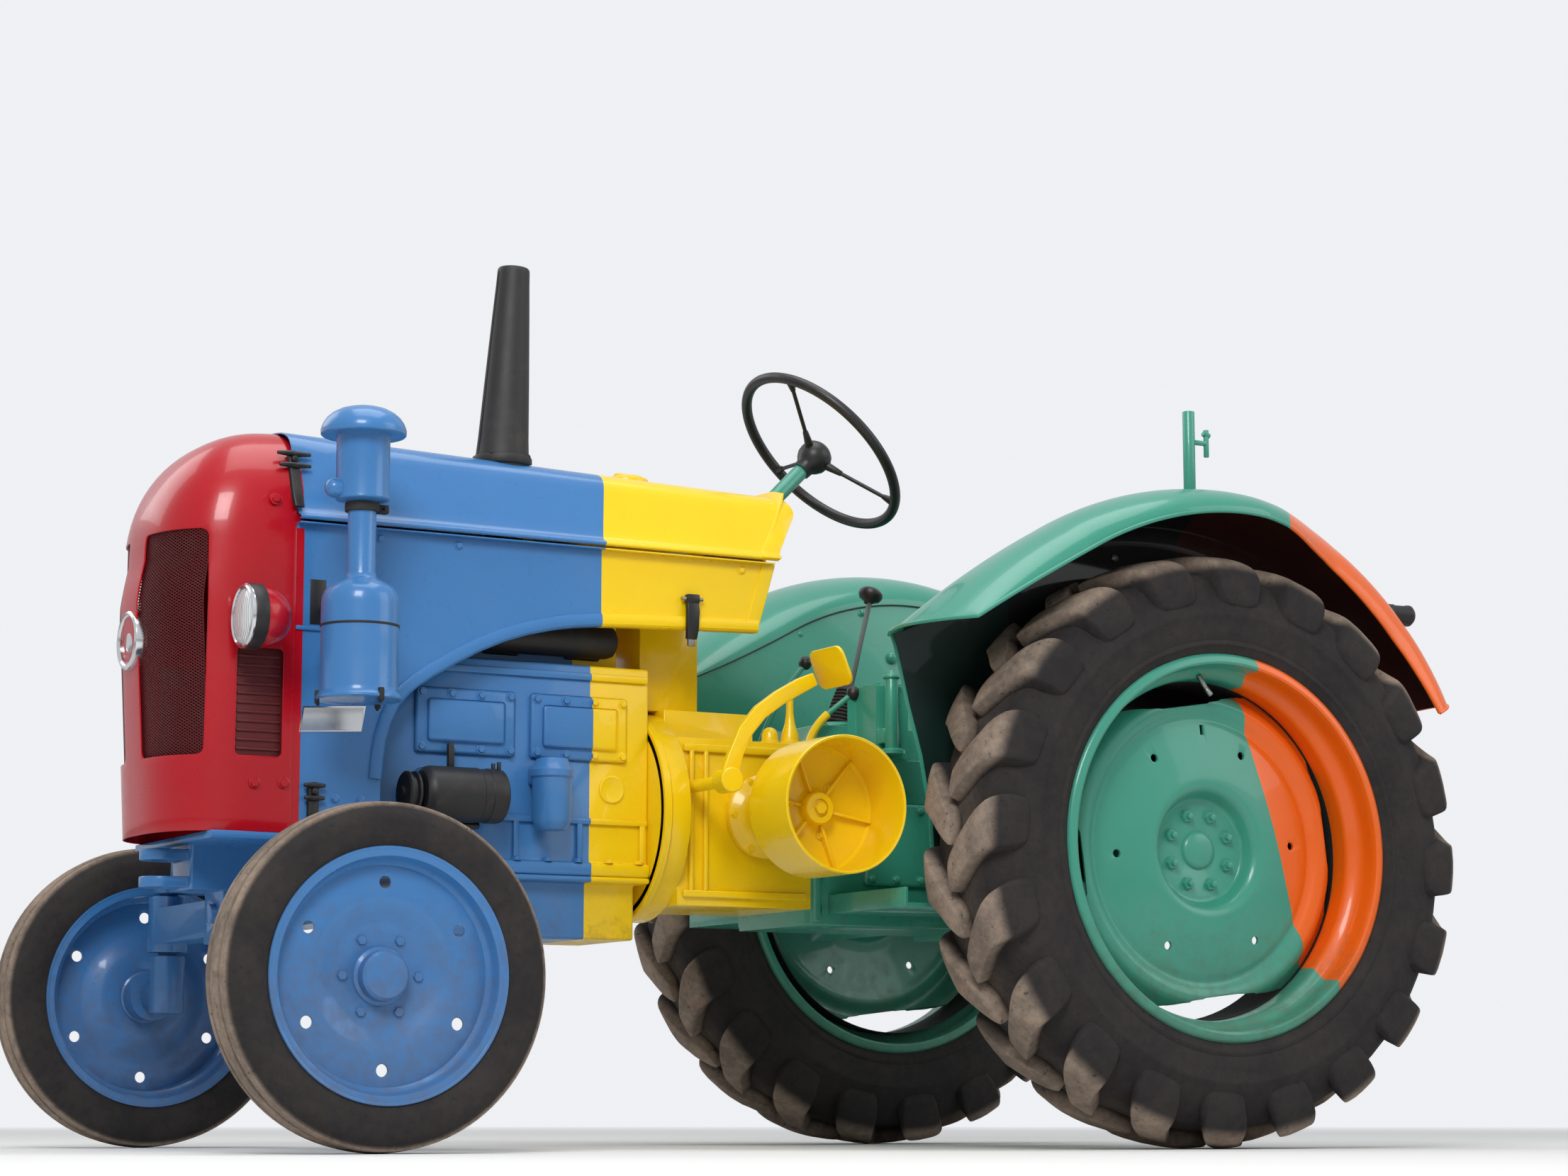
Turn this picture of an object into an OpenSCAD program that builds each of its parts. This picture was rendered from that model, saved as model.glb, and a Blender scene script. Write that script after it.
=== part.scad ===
// Vintage farm tractor of about 25 hp, with painted panels and open engine sides.
// Lengths are millimetres. X runs forward, Y to the tractor's left and Z up.
// Each module is laid out from a point on the ground under the rear axle,
// and on_frame() then moves it so that the origin is under the middle.

/* [Wheels] */
// Distance from the rear axle to the front axle
wheelbase = 1715; // [1650:5:1760]
// Diameter of a rear tyre over its lugs
rear_tyre_d = 1156; // [1100:2:1170]
// Width of a rear tyre
rear_tyre_w = 262; // [240:2:270]
// Distance between the middles of the rear tyres
rear_track = 1244; // [1236:2:1300]
// Diameter of a rear rim over its flanges
rear_rim_d = 754; // [700:2:770]
// Diameter of a front tyre
front_tyre_d = 600; // [560:2:640]
// Width of a front tyre
front_tyre_w = 118; // [100:2:126]
// Distance between the middles of the front tyres
front_track = 1220; // [1200:2:1300]
// Diameter of a front rim over its flanges
front_rim_d = 440; // [400:2:460]
// Wall of a pressed rim
rim_wall = 5; // [3:1:7]

/* [Hood and nose] */
// Height of the hood's ridge
hood_top_z = 1327; // [1310:1:1340]
// Height of the ledge along the hood's side
ledge_z = 1151; // [1140:1:1160]
// Half width over the ledge
ledge_half = 225; // [218:1:230]
// Half width of the hood's top shoulder
shoulder_half = 168; // [160:1:175]
// Half width over the side panels
panel_half = 206; // [200:1:212]
// Lower edge of the side panels at the back
panel_low_z = 999; // [985:1:1020]
// Thickness of the panels
sheet = 3; // [2:0.5:4]
// Back end of the hood's ridge
hood_back_x = 646; // [630:2:660]
// Joint between the nose and the hood
nose_joint_x = 1727; // [1720:1:1735]
// How far the nose reaches ahead of the rear axle
nose_reach = 1979; // [1960:1:2000]
// Half width of the nose
nose_half = 210; // [206:1:214]
// Lower edge of the nose
nose_low_z = 574; // [560:1:590]

/* [Fenders] */
// Radius of a fender's ridge about its own centre
fender_r = 690; // [680:2:710]
// Height of the centre that the fender is bent about
fender_centre_z = 600; // [590:2:610]
// Distance from the middle plane to the ridge of a fender
fender_ridge_y = 645; // [630:1:660]
// Distance from the middle plane to a fender's outer lip
fender_lip_y = 795; // [780:1:810]
// Height of the fender's front edge
fender_front_z = 972; // [950:2:990]

/* [Engine and transmission] */
// Front face of the engine block
engine_front_x = 1530; // [1500:2:1540]
// Face between the engine and the clutch housing
engine_back_x = 960; // [950:2:970]
// Half width of the engine block
engine_half = 140; // [125:1:150]
// Top face of the engine block
engine_top_z = 930; // [900:2:940]
// Underside of the oil sump
sump_low_z = 400; // [380:2:420]
// Face between the clutch housing and the gearbox
gearbox_front_x = 600; // [590:2:610]
// Half width of the gearbox
gearbox_half = 150; // [140:1:160]
// Distance from the middle plane to the end of a rear axle trumpet
trumpet_end_y = 458; // [450:1:459]
// Radius of a rear axle shaft
axle_shaft_r = 35; // [28:1:40]

/* [Steering] */
// Distance from the middle plane to a kingpin
kingpin_y = 480; // [474:1:486]
// Radius of a kingpin
kingpin_r = 18; // [14:1:20]
// Length of a steering arm from the kingpin to the tie rod
tie_arm = 150; // [140:1:160]
// Length of the right knuckle's arm for the drag link
drag_arm = 180; // [170:1:190]
// Length of the drop arm
drop_arm = 430; // [420:1:440]
// Outside radius of the steering wheel
hand_wheel_r = 207; // [180:1:220]
// Radius of the steering wheel's rim tube
hand_rim_r = 11; // [8:0.5:14]
// Tilt of the steering column from vertical
column_tilt = 45; // [43:0.5:47]

/* [Fittings] */
// Radius of the belt pulley
pulley_r = 133; // [120:1:136]
// Distance from the middle plane to the belt pulley's open lip
pulley_lip_y = 484; // [470:1:485]
// Length of the belt pulley's drum
pulley_w = 148; // [120:1:150]
// Radius of the air cleaner's oil bowl
bowl_r = 75; // [65:1:78]
// Radius of a headlamp's rim
lamp_r = 57; // [50:1:62]
// Radius of the exhaust stack's foot
stack_foot_r = 52; // [40:1:56]
// Radius of the exhaust stack's mouth
stack_top_r = 30; // [26:1:36]
// Height of the exhaust stack's mouth
stack_top_z = 1720; // [1650:5:1760]
// Radius of the metal seat
seat_r = 215; // [190:1:230]
// Radius of the pin hole in the rear hitch
hitch_hole_r = 16; // [12:0.5:20]
// Radius of the pin hole in the front tow jaw
tow_hole_r = 14; // [10:0.5:16]
// Radius of the power take-off shaft
pto_r = 17.5; // [14:0.5:20]

/* [Hidden] */
$fn = 72;

// Paint
red = "#b3122a";
blue = "#4682b9";
yellow = "#ffe114";
green = "#4ba082";
orange = "#f06e1e";
black = "#1c1c1e";
rubber = "#4a4541";
steel = "#9a9a98";
chrome = "#d8dadc";

// Clearances
run_gap = 0.05;     // radial, a shaft in its bore
side_gap = 6;       // between a moving piece and the piece beside it
seat_gap = 0.3;     // a curved piece on its seat

// The fender's back edge is a radial cut at this angle from vertical
fender_back_angle = 64;
tail_reach = fender_r * sin(fender_back_angle);
front_reach = wheelbase + front_tyre_d / 2;
rear_axle_x = -(front_reach - tail_reach) / 2;

rear_r = rear_tyre_d / 2;
rear_y = rear_track / 2;
rear_rim_r = rear_rim_d / 2;
front_r = front_tyre_d / 2;
front_y = front_track / 2;
front_rim_r = front_rim_d / 2;

// Moves a piece from the rear axle's frame to the frame under the middle
module on_frame() {
    translate([rear_axle_x, 0, 0]) children();
}

// Draws a left-hand piece on the side asked for
module on_side(side) {
    if (side > 0) children();
    else mirror([0, 1, 0]) children();
}

// A box between two corners
module block(low, high) {
    translate(low) cube([high.x - low.x, high.y - low.y, high.z - low.z]);
}

// A round bar along Y from y0 to y1
module bar_y(x, z, r, y0, y1) {
    translate([x, y0, z]) rotate([-90, 0, 0]) cylinder(r = r, h = y1 - y0);
}

// A round bar along X from x0 to x1
module bar_x(y, z, r, x0, x1) {
    translate([x0, y, z]) rotate([0, 90, 0]) cylinder(r = r, h = x1 - x0);
}

// An upright round bar from z0 to z1
module bar_z(x, y, r, z0, z1) {
    translate([x, y, z0]) cylinder(r = r, h = z1 - z0);
}

// An outline of [x, z] points given thickness from y0 to y1
module plate_y(points, y0, y1) {
    translate([0, y1, 0]) rotate([90, 0, 0]) linear_extrude(y1 - y0) polygon(points);
}

// A ring turned about an axle along Y, from [radius, y] points
module turned_y(x, z, points) {
    translate([x, 0, z]) rotate([-90, 0, 0]) rotate_extrude() polygon(points);
}

// Half the width of a bent bar at point i of its path, as a vector to its left side
function bend_side(path, i, w) =
    let (
        last = len(path) - 1,
        before = path[max(i, 1)] - path[max(i, 1) - 1],
        after = path[min(i, last - 1) + 1] - path[min(i, last - 1)],
        turn = before / norm(before) + after / norm(after),
        left = [-turn.y, turn.x] / norm(turn),
        square = [-before.y, before.x] / norm(before)
    ) left * (w / 2) / (left * square);

// A flat bar of width w through [x, z] points, with mitred bends
module bent_bar(path, w, y0, y1) {
    last = len(path) - 1;
    plate_y(concat(
        [for (i = [0 : last]) path[i] + bend_side(path, i, w)],
        [for (i = [last : -1 : 0]) path[i] - bend_side(path, i, w)]
    ), y0, y1);
}

// Rear wheels

rim_lip = 6;                                        // how far a flange turns out
rear_bead = rear_tyre_w / 2 - 19;                   // half the width between the flanges
rear_seat_r = rear_rim_r - 21;                      // radius that the tyre's bead sits on
rear_well_r = rear_seat_r - 20;                     // radius of the rim's drop centre

// A closed shell over rings of points, each ring joined to the next and the last to the first.
// A ring has as many points as its neighbour, or four to the neighbour's two. shifts says by how
// many points each ring runs ahead of the next.

function ring_start(rings, i) = i == 0 ? 0 : ring_start(rings, i - 1) + len(rings[i - 1]);

function ring_faces(a, n, b, m, shift) =
    n == m ? [
        for (i = [0 : n - 1])
            let (j = (i + 1) % n, p = b + (i - shift + n) % n, q = b + (j - shift + n) % n)
            each [[a + i, q, a + j], [a + i, p, q]]
    ] : n > m ? [
        for (k = [0 : m / 2 - 1])
            let (i = a + 4 * k, next = a + (4 * k + 4) % n, p = b + 2 * k, q = b + (2 * k + 2) % m)
            each [
                [i, p, i + 1], [i + 1, p + 1, i + 2], [i + 1, p, p + 1],
                [i + 2, p + 1, i + 3], [i + 3, q, next], [i + 3, p + 1, q]
            ]
    ] : [for (face = ring_faces(b, m, a, n, shift)) [face[0], face[2], face[1]]];

module ring_shell(rings, shifts) {
    count = len(rings);
    polyhedron(
        points = [for (ring = rings) each ring],
        faces = [
            for (i = [0 : count - 1])
                let (j = (i + 1) % count)
                each ring_faces(ring_start(rings, i), len(rings[i]), ring_start(rings, j), len(rings[j]), shifts[i])
        ]
    );
}

// A point on a wheel: x of its axle, radius, height of its centre, y, and degrees from the top forward
function wheel_point(x, r, centre_z, y, turn) = [x + r * sin(turn), y, centre_z + r * cos(turn)];

// Lugs slant backwards from the tyre's middle, and those of one side stand between those of the other.
// Each ring across a lug: drop of the tyre's skin and of the lug's top from the tyre's radius, their
// places from the tyre's middle, how far the lug trails there, and half its length round the tyre.

lug_count = 20;
lug_flank = 7;
lug_pitch = 360 / lug_count;
rear_half = rear_tyre_w / 2;

skin_drop = 0;
skin_y = 1;
top_drop = 2;
top_y = 3;
trail = 4;
lug_half = 5;
lug_rings = [
    [31, 8, 0, 8, 16, 27],
    [35, rear_half * 0.45, 1, rear_half * 0.46, 64, 34],
    [43, rear_half - 39, 14, rear_half - 27, 99, 42],
    [80, rear_half - 13, 66, rear_half, 110, 45],
    [101, rear_half - 4, 104, rear_half - 3, 111, 40]
];
last_ring = lug_rings[len(lug_rings) - 1];

// The front edge of an inner lug's top rests on the ground
lug_turn = 180 + lug_pitch / 2 + (lug_rings[0][trail] - lug_rings[0][lug_half]) / rear_r * 180 / PI;

function lug_ring(row, way) = [
    for (k = [0 : lug_count - 1])
        for (point = [[-1, lug_flank], [-1, 0], [1, 0], [1, lug_flank]])
            let (
                foot = point[1] > 0,
                arc = row[trail] + point[0] * (row[lug_half] + point[1]),
                turn = lug_turn - (k + (way < 0 ? 0.5 : 0)) * lug_pitch - arc / rear_r * 180 / PI
            )
            wheel_point(0, rear_r - row[foot ? skin_drop : top_drop], rear_r,
                rear_y + way * row[foot ? skin_y : top_y], turn)
];

function plain_ring(r, y, way) = [
    for (k = [0 : 2 * lug_count - 1])
        let (turn = lug_turn - (k / 2 - 0.25 + (way < 0 ? 0.5 : 0)) * lug_pitch - last_ring[trail] / rear_r * 180 / PI)
        wheel_point(0, r, rear_r, rear_y + way * y, turn)
];

module rear_tyre(side) {
    bead_r = (rear_seat_r + seat_gap) / cos(lug_pitch / 4);
    walls = [
        [bead_r, rear_bead - seat_gap], [rear_rim_r + 3, rear_bead - seat_gap],
        [rear_rim_r + 12, rear_bead + 8], [rear_r - 126, rear_half - 1]
    ];
    last = len(walls) - 1;
    rows = len(lug_rings) - 1;
    rings = concat(
        [for (wall = walls) plain_ring(wall[0], wall[1], 1)],
        [for (i = [rows : -1 : 0]) lug_ring(lug_rings[i], 1)],
        [for (i = [0 : rows]) lug_ring(lug_rings[i], -1)],
        [for (i = [last : -1 : 0]) plain_ring(walls[i][0], walls[i][1], -1)]
    );
    middle = last + rows + 1;
    shifts = [for (i = [0 : len(rings) - 1]) i == middle ? 2 : i == len(rings) - 1 ? -1 : 0];
    on_frame() color(rubber) on_side(side) ring_shell(rings, shifts);
}

disc_face_y = rear_y + 33;      // flat outer face of the disc
disc_edge_y = rear_y + 3;       // outer face of its edge, welded in the rim's well
disc_wall = 8;
disc_flat = 305;                // distance of its straight edges from the centre

module rear_rim(side) {
    w = rim_wall;
    in_r = rear_well_r - w;
    hub_y0 = trumpet_end_y + fender_sheet + side_gap;
    on_frame() color(green) on_side(side) {
        // The rim's wall, from the inner flange over the well to the outer flange
        turned_y(0, rear_r, [
            [rear_rim_r, rear_y - rear_bead - rim_lip], [rear_rim_r, rear_y - rear_bead - rim_lip + w],
            [rear_seat_r, rear_y - rear_bead], [rear_seat_r, rear_y - 62],
            [rear_well_r, rear_y - 44], [rear_well_r, rear_y + 44],
            [rear_seat_r, rear_y + 62], [rear_seat_r, rear_y + rear_bead],
            [rear_rim_r, rear_y + rear_bead + rim_lip - w], [rear_rim_r, rear_y + rear_bead + rim_lip],
            [rear_seat_r - w, rear_y + rear_bead + rim_lip], [rear_seat_r - w, rear_y + 62],
            [in_r, rear_y + 44 - w / 2], [in_r, rear_y - 44 + w / 2],
            [rear_seat_r - w, rear_y - 62], [rear_seat_r - w, rear_y - rear_bead - rim_lip]
        ]);
        // The dished disc, cut straight on four sides
        difference() {
            intersection() {
                turned_y(0, rear_r, [
                    [0, disc_edge_y - disc_wall], [in_r + 1, disc_edge_y - disc_wall],
                    [in_r + 1, disc_edge_y], [300, disc_edge_y], [250, disc_face_y],
                    [135, disc_face_y], [107, disc_edge_y], [40, disc_edge_y],
                    [40, disc_edge_y + 12], [34, disc_edge_y + 16], [0, disc_edge_y + 16]
                ]);
                block([-disc_flat, 0, rear_r - disc_flat], [disc_flat, 2 * rear_y, rear_r + disc_flat]);
            }
            turned_y(0, rear_r, [
                [128, disc_edge_y - disc_wall - 1], [292, disc_edge_y - disc_wall - 1],
                [292, disc_edge_y - disc_wall], [246, disc_face_y - disc_wall],
                [139, disc_face_y - disc_wall], [128, disc_edge_y - disc_wall]
            ]);
            for (a = [0 : 60 : 300])
                bar_y(218 * sin(a), rear_r + 218 * cos(a), 6.5, rear_y, rear_y + 60);
        }
        // The hub and its shaft, which turns in the trumpet
        bar_y(0, rear_r, 95, hub_y0, disc_edge_y - disc_wall);
        bar_y(0, rear_r, axle_shaft_r, trumpet_end_y - 60, hub_y0);
    }
}

// Front wheels

front_bead = front_tyre_w / 2 - 9;
front_seat_r = front_rim_r - 16;
front_well_r = front_seat_r - 12;
spindle_r = 19;
spindle_end_y = front_y + 30;

front_ring_points = 36;

module front_tyre(side) {
    half = front_tyre_w / 2;
    bead_r = (front_seat_r + seat_gap) / cos(180 / front_ring_points);
    profile = [
        [bead_r, front_bead - seat_gap], [front_rim_r + 2, front_bead - seat_gap],
        [front_rim_r + 30, half], [front_r - 12, half - 14], [front_r, 26]
    ];
    last = len(profile) - 1;
    points = concat(profile, [for (i = [last : -1 : 0]) [profile[i][0], -profile[i][1]]]);
    on_frame() color(rubber) on_side(side) ring_shell([
        for (point = points) [
            for (k = [0 : front_ring_points - 1])
                wheel_point(wheelbase, point[0], front_r, front_y + point[1], -k * 360 / front_ring_points)
        ]
    ], [for (point = points) 0]);
}

module front_rim(side) {
    w = 4;
    in_r = front_well_r - w;
    on_frame() color(blue) on_side(side) difference() {
        union() {
            turned_y(wheelbase, front_r, [
                [front_rim_r, front_y - front_bead - 5], [front_rim_r, front_y - front_bead],
                [front_seat_r, front_y - front_bead], [front_seat_r, front_y - 26],
                [front_well_r, front_y - 18], [front_well_r, front_y + 18],
                [front_seat_r, front_y + 26], [front_seat_r, front_y + front_bead],
                [front_rim_r, front_y + front_bead], [front_rim_r, front_y + front_bead + 5],
                [front_seat_r - w, front_y + front_bead + 5], [front_seat_r - w, front_y + 26],
                [in_r, front_y + 18], [in_r, front_y - 18],
                [front_seat_r - w, front_y - 26], [front_seat_r - w, front_y - front_bead - 5]
            ]);
            turned_y(wheelbase, front_r, [
                [0, front_y - 6], [90, front_y - 6], [130, front_y + 10], [in_r + 1, front_y + 10],
                [in_r + 1, front_y + 16], [126, front_y + 16], [86, front_y], [52, front_y],
                [52, front_y + 34], [44, front_y + 40], [0, front_y + 40]
            ]);
            bar_y(wheelbase, front_r, 48, front_y - 52, front_y);
        }
        bar_y(wheelbase, front_r, spindle_r + run_gap, front_y - 60, spindle_end_y + 1);
    }
}

// Front axle and steering

beam_low_z = 400;
beam_high_z = 470;
boss_low_z = 384;
boss_high_z = 494;
arm_low_z = boss_high_z + side_gap;
arm_high_z = arm_low_z + 16;
eye_h = 20;
tie_z = arm_low_z - side_gap - eye_h / 2;       // middle of the tie rod, under the arms
drag_z = arm_high_z + side_gap + eye_h / 2;     // middle of the drag link, above the arm
pivot_r = 18;

module front_axle() {
    on_frame() color(blue) difference() {
        union() {
            block([wheelbase - 35, -kingpin_y, beam_low_z], [wheelbase + 35, kingpin_y, beam_high_z]);
            for (s = [-1, 1]) bar_z(wheelbase, s * kingpin_y, 40, boss_low_z, boss_high_z);
            bar_x(0, (beam_low_z + beam_high_z) / 2, pivot_r, wheelbase - 90, wheelbase + 90);
        }
        for (s = [-1, 1]) bar_z(wheelbase, s * kingpin_y, kingpin_r + run_gap, boss_low_z - 1, boss_high_z + 1);
    }
}

module front_support() {
    pin_z = (beam_low_z + beam_high_z) / 2;
    plate_z = nose_low_z - 14;
    // The tow pin stands ahead of the saddle that carries the axle
    tow_x = max(nose_reach - 80, wheelbase + 130);
    saddle = [wheelbase - 85, tow_x - 39];
    post_x = max(saddle.x, engine_front_x + 10);
    on_frame() color(blue) difference() {
        union() {
            block([engine_front_x + 15, -nose_half, plate_z], [tow_x - 20, nose_half, nose_low_z]);
            block([saddle.x, -60, beam_high_z + side_gap], [saddle.y, 60, 500]);
            block([post_x, -60, 500], [saddle.y, 60, plate_z]);
            for (x = [wheelbase - 80, wheelbase + 40])
                block([x, -50, beam_low_z - 20], [x + 40, 50, beam_high_z + side_gap]);
            for (z = [480, 530]) {
                block([saddle.y, -40, z], [tow_x, 40, z + 20]);
                bar_z(tow_x, 0, 40, z, z + 20);
            }
            block([engine_front_x, -110, 500], [post_x + 10, 110, plate_z]);
        }
        bar_x(0, pin_z, pivot_r + seat_gap, wheelbase - 100, wheelbase + 100);
        bar_z(tow_x, 0, tow_hole_r, 470, 560);
        // Room for the tie rod to pass
        block([tie_x - 40, -600, tie_z - 30], [tie_x + 60, 600, tie_z + 22]);
    }
}

tie_x = wheelbase - tie_arm;

module knuckle(side) {
    spindle_y0 = kingpin_y;
    on_frame() color(blue) on_side(side) {
        bar_z(wheelbase, kingpin_y, kingpin_r, front_r, arm_low_z);
        bar_z(wheelbase, kingpin_y, 34, front_r - 36, boss_low_z - side_gap);
        bar_y(wheelbase, front_r, 30, spindle_y0, front_y - 52 - side_gap);
        bar_y(wheelbase, front_r, spindle_r, front_y - 52 - side_gap, spindle_end_y);
        // The arm that the tie rod hangs under
        bar_z(wheelbase, kingpin_y, 32, arm_low_z, arm_high_z);
        block([tie_x, kingpin_y - 18, arm_low_z], [wheelbase, kingpin_y + 18, arm_high_z]);
        bar_z(tie_x, kingpin_y, 18, arm_low_z, arm_high_z);
        bar_z(tie_x, kingpin_y, 9, tie_z - eye_h / 2 - 8, arm_low_z);
        // The right knuckle also has the arm that the drag link pushes
        if (side < 0) {
            block([wheelbase - 16, kingpin_y - drag_arm, arm_low_z], [wheelbase + 16, kingpin_y, arm_high_z]);
            bar_z(wheelbase, kingpin_y - drag_arm, 18, arm_low_z, arm_high_z);
        }
    }
}

module tie_rod() {
    on_frame() color(steel) difference() {
        union() {
            for (s = [-1, 1]) bar_z(tie_x, s * kingpin_y, 20, tie_z - eye_h / 2, tie_z + eye_h / 2);
            bar_y(tie_x, tie_z, 9, -kingpin_y + 12, kingpin_y - 12);
        }
        for (s = [-1, 1])
            bar_z(tie_x, s * kingpin_y, 9 + run_gap, tie_z - eye_h, tie_z + eye_h);
    }
}

drag_y = -(kingpin_y - drag_arm);
drop_x = 880;
drop_z = drag_z + drop_arm;
drop_w = 16;

module drop_arm_lever() {
    y0 = drag_y + eye_h / 2 + 4;
    on_frame() color(blue) {
        bent_bar([[drop_x, drop_z], [drop_x, drag_z]], 34, y0, y0 + drop_w);
        for (z = [drop_z, drag_z]) bar_y(drop_x, z, 20, y0, y0 + drop_w);
        bar_y(drop_x, drop_z, 16, y0 + drop_w, y0 + drop_w + 70);
        bar_y(drop_x, drag_z, 9, drag_y - 10, y0);
    }
}

module drag_link() {
    on_frame() color(steel) {
        difference() {
            bar_y(drop_x, drag_z, 20, drag_y - 10, drag_y + 10);
            bar_y(drop_x, drag_z, 9 + run_gap, drag_y - 20, drag_y + 20);
        }
        bar_x(drag_y, drag_z, 8, drop_x + 16, wheelbase - 16);
        difference() {
            bar_z(wheelbase, drag_y, 20, drag_z - 10, drag_z + 10);
            bar_z(wheelbase, drag_y, 9, drag_z - 20, drag_z + 20);
        }
    }
}

// The steering column's line, from the wheel's middle down and forward
wheel_x = 490;
wheel_z = 1436;
column_r = 17;
shaft_r = 9;

module along_column(t) {
    translate([wheel_x, 0, wheel_z]) rotate([0, 180 - column_tilt, 0]) translate([0, 0, t]) children();
}

box_low_z = 860;
box_top_z = 1058;

module steering_column() {
    on_frame() color(green) {
        difference() {
            union() {
                along_column(44) cylinder(r = column_r, h = 520);
                block([810, -60, box_low_z], [940, 60, box_top_z]);
                bar_y(drop_x, drop_z, 34, drag_y + eye_h / 2 + 4 + drop_w + side_gap, 0);
            }
            along_column(40) cylinder(r = shaft_r + run_gap, h = 80);
            bar_y(drop_x, drop_z, 16 + run_gap, drag_y, drag_y + 140);
        }
        along_column(176) difference() {
            cylinder(r1 = 22, r2 = 30, h = 30);
            translate([0, 0, -1]) cylinder(r = column_r - 1, h = 32);
        }
    }
}

module steering_wheel() {
    on_frame() color(black) along_column(0) {
        rotate_extrude() translate([hand_wheel_r - hand_rim_r, 0]) circle(r = hand_rim_r, $fn = 32);
        for (a = [60, 180, 300]) rotate([0, 0, a]) rotate([0, 90, 0])
            cylinder(r = 4.5, h = hand_wheel_r - hand_rim_r, $fn = 24);
        translate([0, 0, -16]) cylinder(r = 38, h = 40);
        translate([0, 0, -26]) cylinder(r1 = 24, r2 = 38, h = 10);
        translate([0, 0, 24]) cylinder(r = shaft_r, h = 80);
    }
}

// Engine

module engine_block() {
    on_frame() color(blue) {
        block([engine_back_x, -engine_half, 520], [engine_front_x, engine_half, engine_top_z]);
        for (s = [-1, 1])
            block([engine_back_x, s > 0 ? engine_half : -engine_half - 12, 520],
                  [engine_front_x, s > 0 ? engine_half + 12 : -engine_half, 546]);
    }
}

module cylinder_head() {
    on_frame() color(blue) {
        block([engine_back_x + 30, -125, engine_top_z], [engine_front_x - 30, 58, head_z]);
        block([engine_back_x + 60, -110, head_z], [engine_front_x - 60, 40, 1120]);
    }
}

module oil_sump() {
    on_frame() color(blue) {
        block([engine_back_x + 20, -120, sump_low_z], [min(engine_front_x - 20, tie_x - 55), 120, 508]);
        block([engine_back_x, -engine_half - 12, 508], [engine_front_x, engine_half + 12, 520]);
    }
}

head_z = 1040;
stack_x = 1258;
stack_y = 86;
riser_r = 27;

module exhaust_manifold() {
    on_frame() color(black) {
        block([engine_back_x + 50, 58, engine_top_z + 20], [engine_front_x - 50, 138, engine_top_z + 92]);
        bar_z(stack_x, stack_y, riser_r, engine_top_z + 92, hood_top_z - 20);
    }
}

module injection_pump() {
    y = -engine_half;
    on_frame() color(blue) {
        block([1180, y - 90, 660], [1400, y, 760]);
        bar_x(y - 50, 800, 34, 1200, 1380);
        for (x = [1220 : 45 : 1360]) bar_z(x, y - 50, 12, 820, 870);
        block([1200, y - 72, 760], [1380, y - 28, 780]);
    }
}

module dynamo() {
    on_frame() color(black) {
        bar_x(engine_half + 55, 660, 52, 1300, 1470);
        bar_x(engine_half + 55, 660, 40, 1475, 1500);
        bar_x(engine_half + 55, 660, 10, 1470, 1475);
        block([1340, engine_half, 600], [1430, engine_half + 20, 640]);
    }
}

module radiator() {
    on_frame() color(black) {
        core = [nose_joint_x - 127, nose_joint_x - 37];
        block([core.x, -170, nose_low_z], [core.y, 170, ledge_z + 29]);
        block([core.x + 10, -150, ledge_z + 29], [core.y - 10, 150, hood_top_z - 87]);
    }
}

module fuel_tank() {
    on_frame() color(yellow) {
        low = ledge_z + 29;
        block([800, -150, low], [1080, 150, hood_top_z - 37]);
        bar_z(967, 0, 30, hood_top_z - 37, hood_top_z);
        // Legs on the steering box and on the cylinder head
        block([905, -50, box_top_z], [935, 50, low]);
        block([992, -60, head_z], [1012, 40, low]);
    }
}

module filler_cap() {
    on_frame() color(yellow) {
        bar_z(967, 0, 42, hood_top_z + seat_gap, hood_top_z + 18);
        bar_z(967, 0, 34, hood_top_z + 18, hood_top_z + 24);
    }
}

// Hood and nose

// Half of the hood's section as [y, z], from the ridge to the ledge
function hood_outline(inset) = [
    [0, hood_top_z - inset],
    [shoulder_half * 0.62, hood_top_z - 5 - inset],
    [shoulder_half - 18, hood_top_z - 16 - inset],
    [shoulder_half - inset, hood_top_z - 40],
    [ledge_half - 12 - inset, ledge_z + 12],
    [ledge_half - 2 * inset, ledge_z + 6],
    [ledge_half - 2 * inset, ledge_z]
];

function both_sides(points) = concat(
    points,
    [for (i = [len(points) - 1 : -1 : 1]) [-points[i].x, points[i].y]]
);

// A bar along X from x0 to x1 whose section is a [y, z] outline
module bar_of(points, x0, x1) {
    translate([x0, 0, 0]) rotate([90, 0, 90]) linear_extrude(x1 - x0) polygon(points);
}

// The hood's back edge leans: [x, z] points of the side view
back_low_x = 766;
back_ledge_x = 735;

module hood_top() {
    on_frame() color(blue) difference() {
        intersection() {
            bar_of(both_sides(hood_outline(0)), 600, nose_joint_x);
            plate_y([
                [hood_back_x, hood_top_z + 1], [back_ledge_x, ledge_z],
                [nose_joint_x, ledge_z], [nose_joint_x, hood_top_z + 1]
            ], -300, 300);
        }
        translate([-1, 0, 0])
            bar_of(both_sides([for (p = hood_outline(sheet)) [p.x, p.y == ledge_z ? p.y - 1 : p.y]]),
                600, nose_joint_x + 2);
        bar_z(stack_x, stack_y, 40, hood_top_z - 60, hood_top_z + 20);
        bar_z(967, 0, 30 + seat_gap, hood_top_z - 60, hood_top_z + 20);
    }
}

// The side panel's lower edge is an arch over the engine
arch_points = [[1119, 996], [1230, 984], [1339, 954], [1430, 912], [1515, 842], [1540, 780]];

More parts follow.
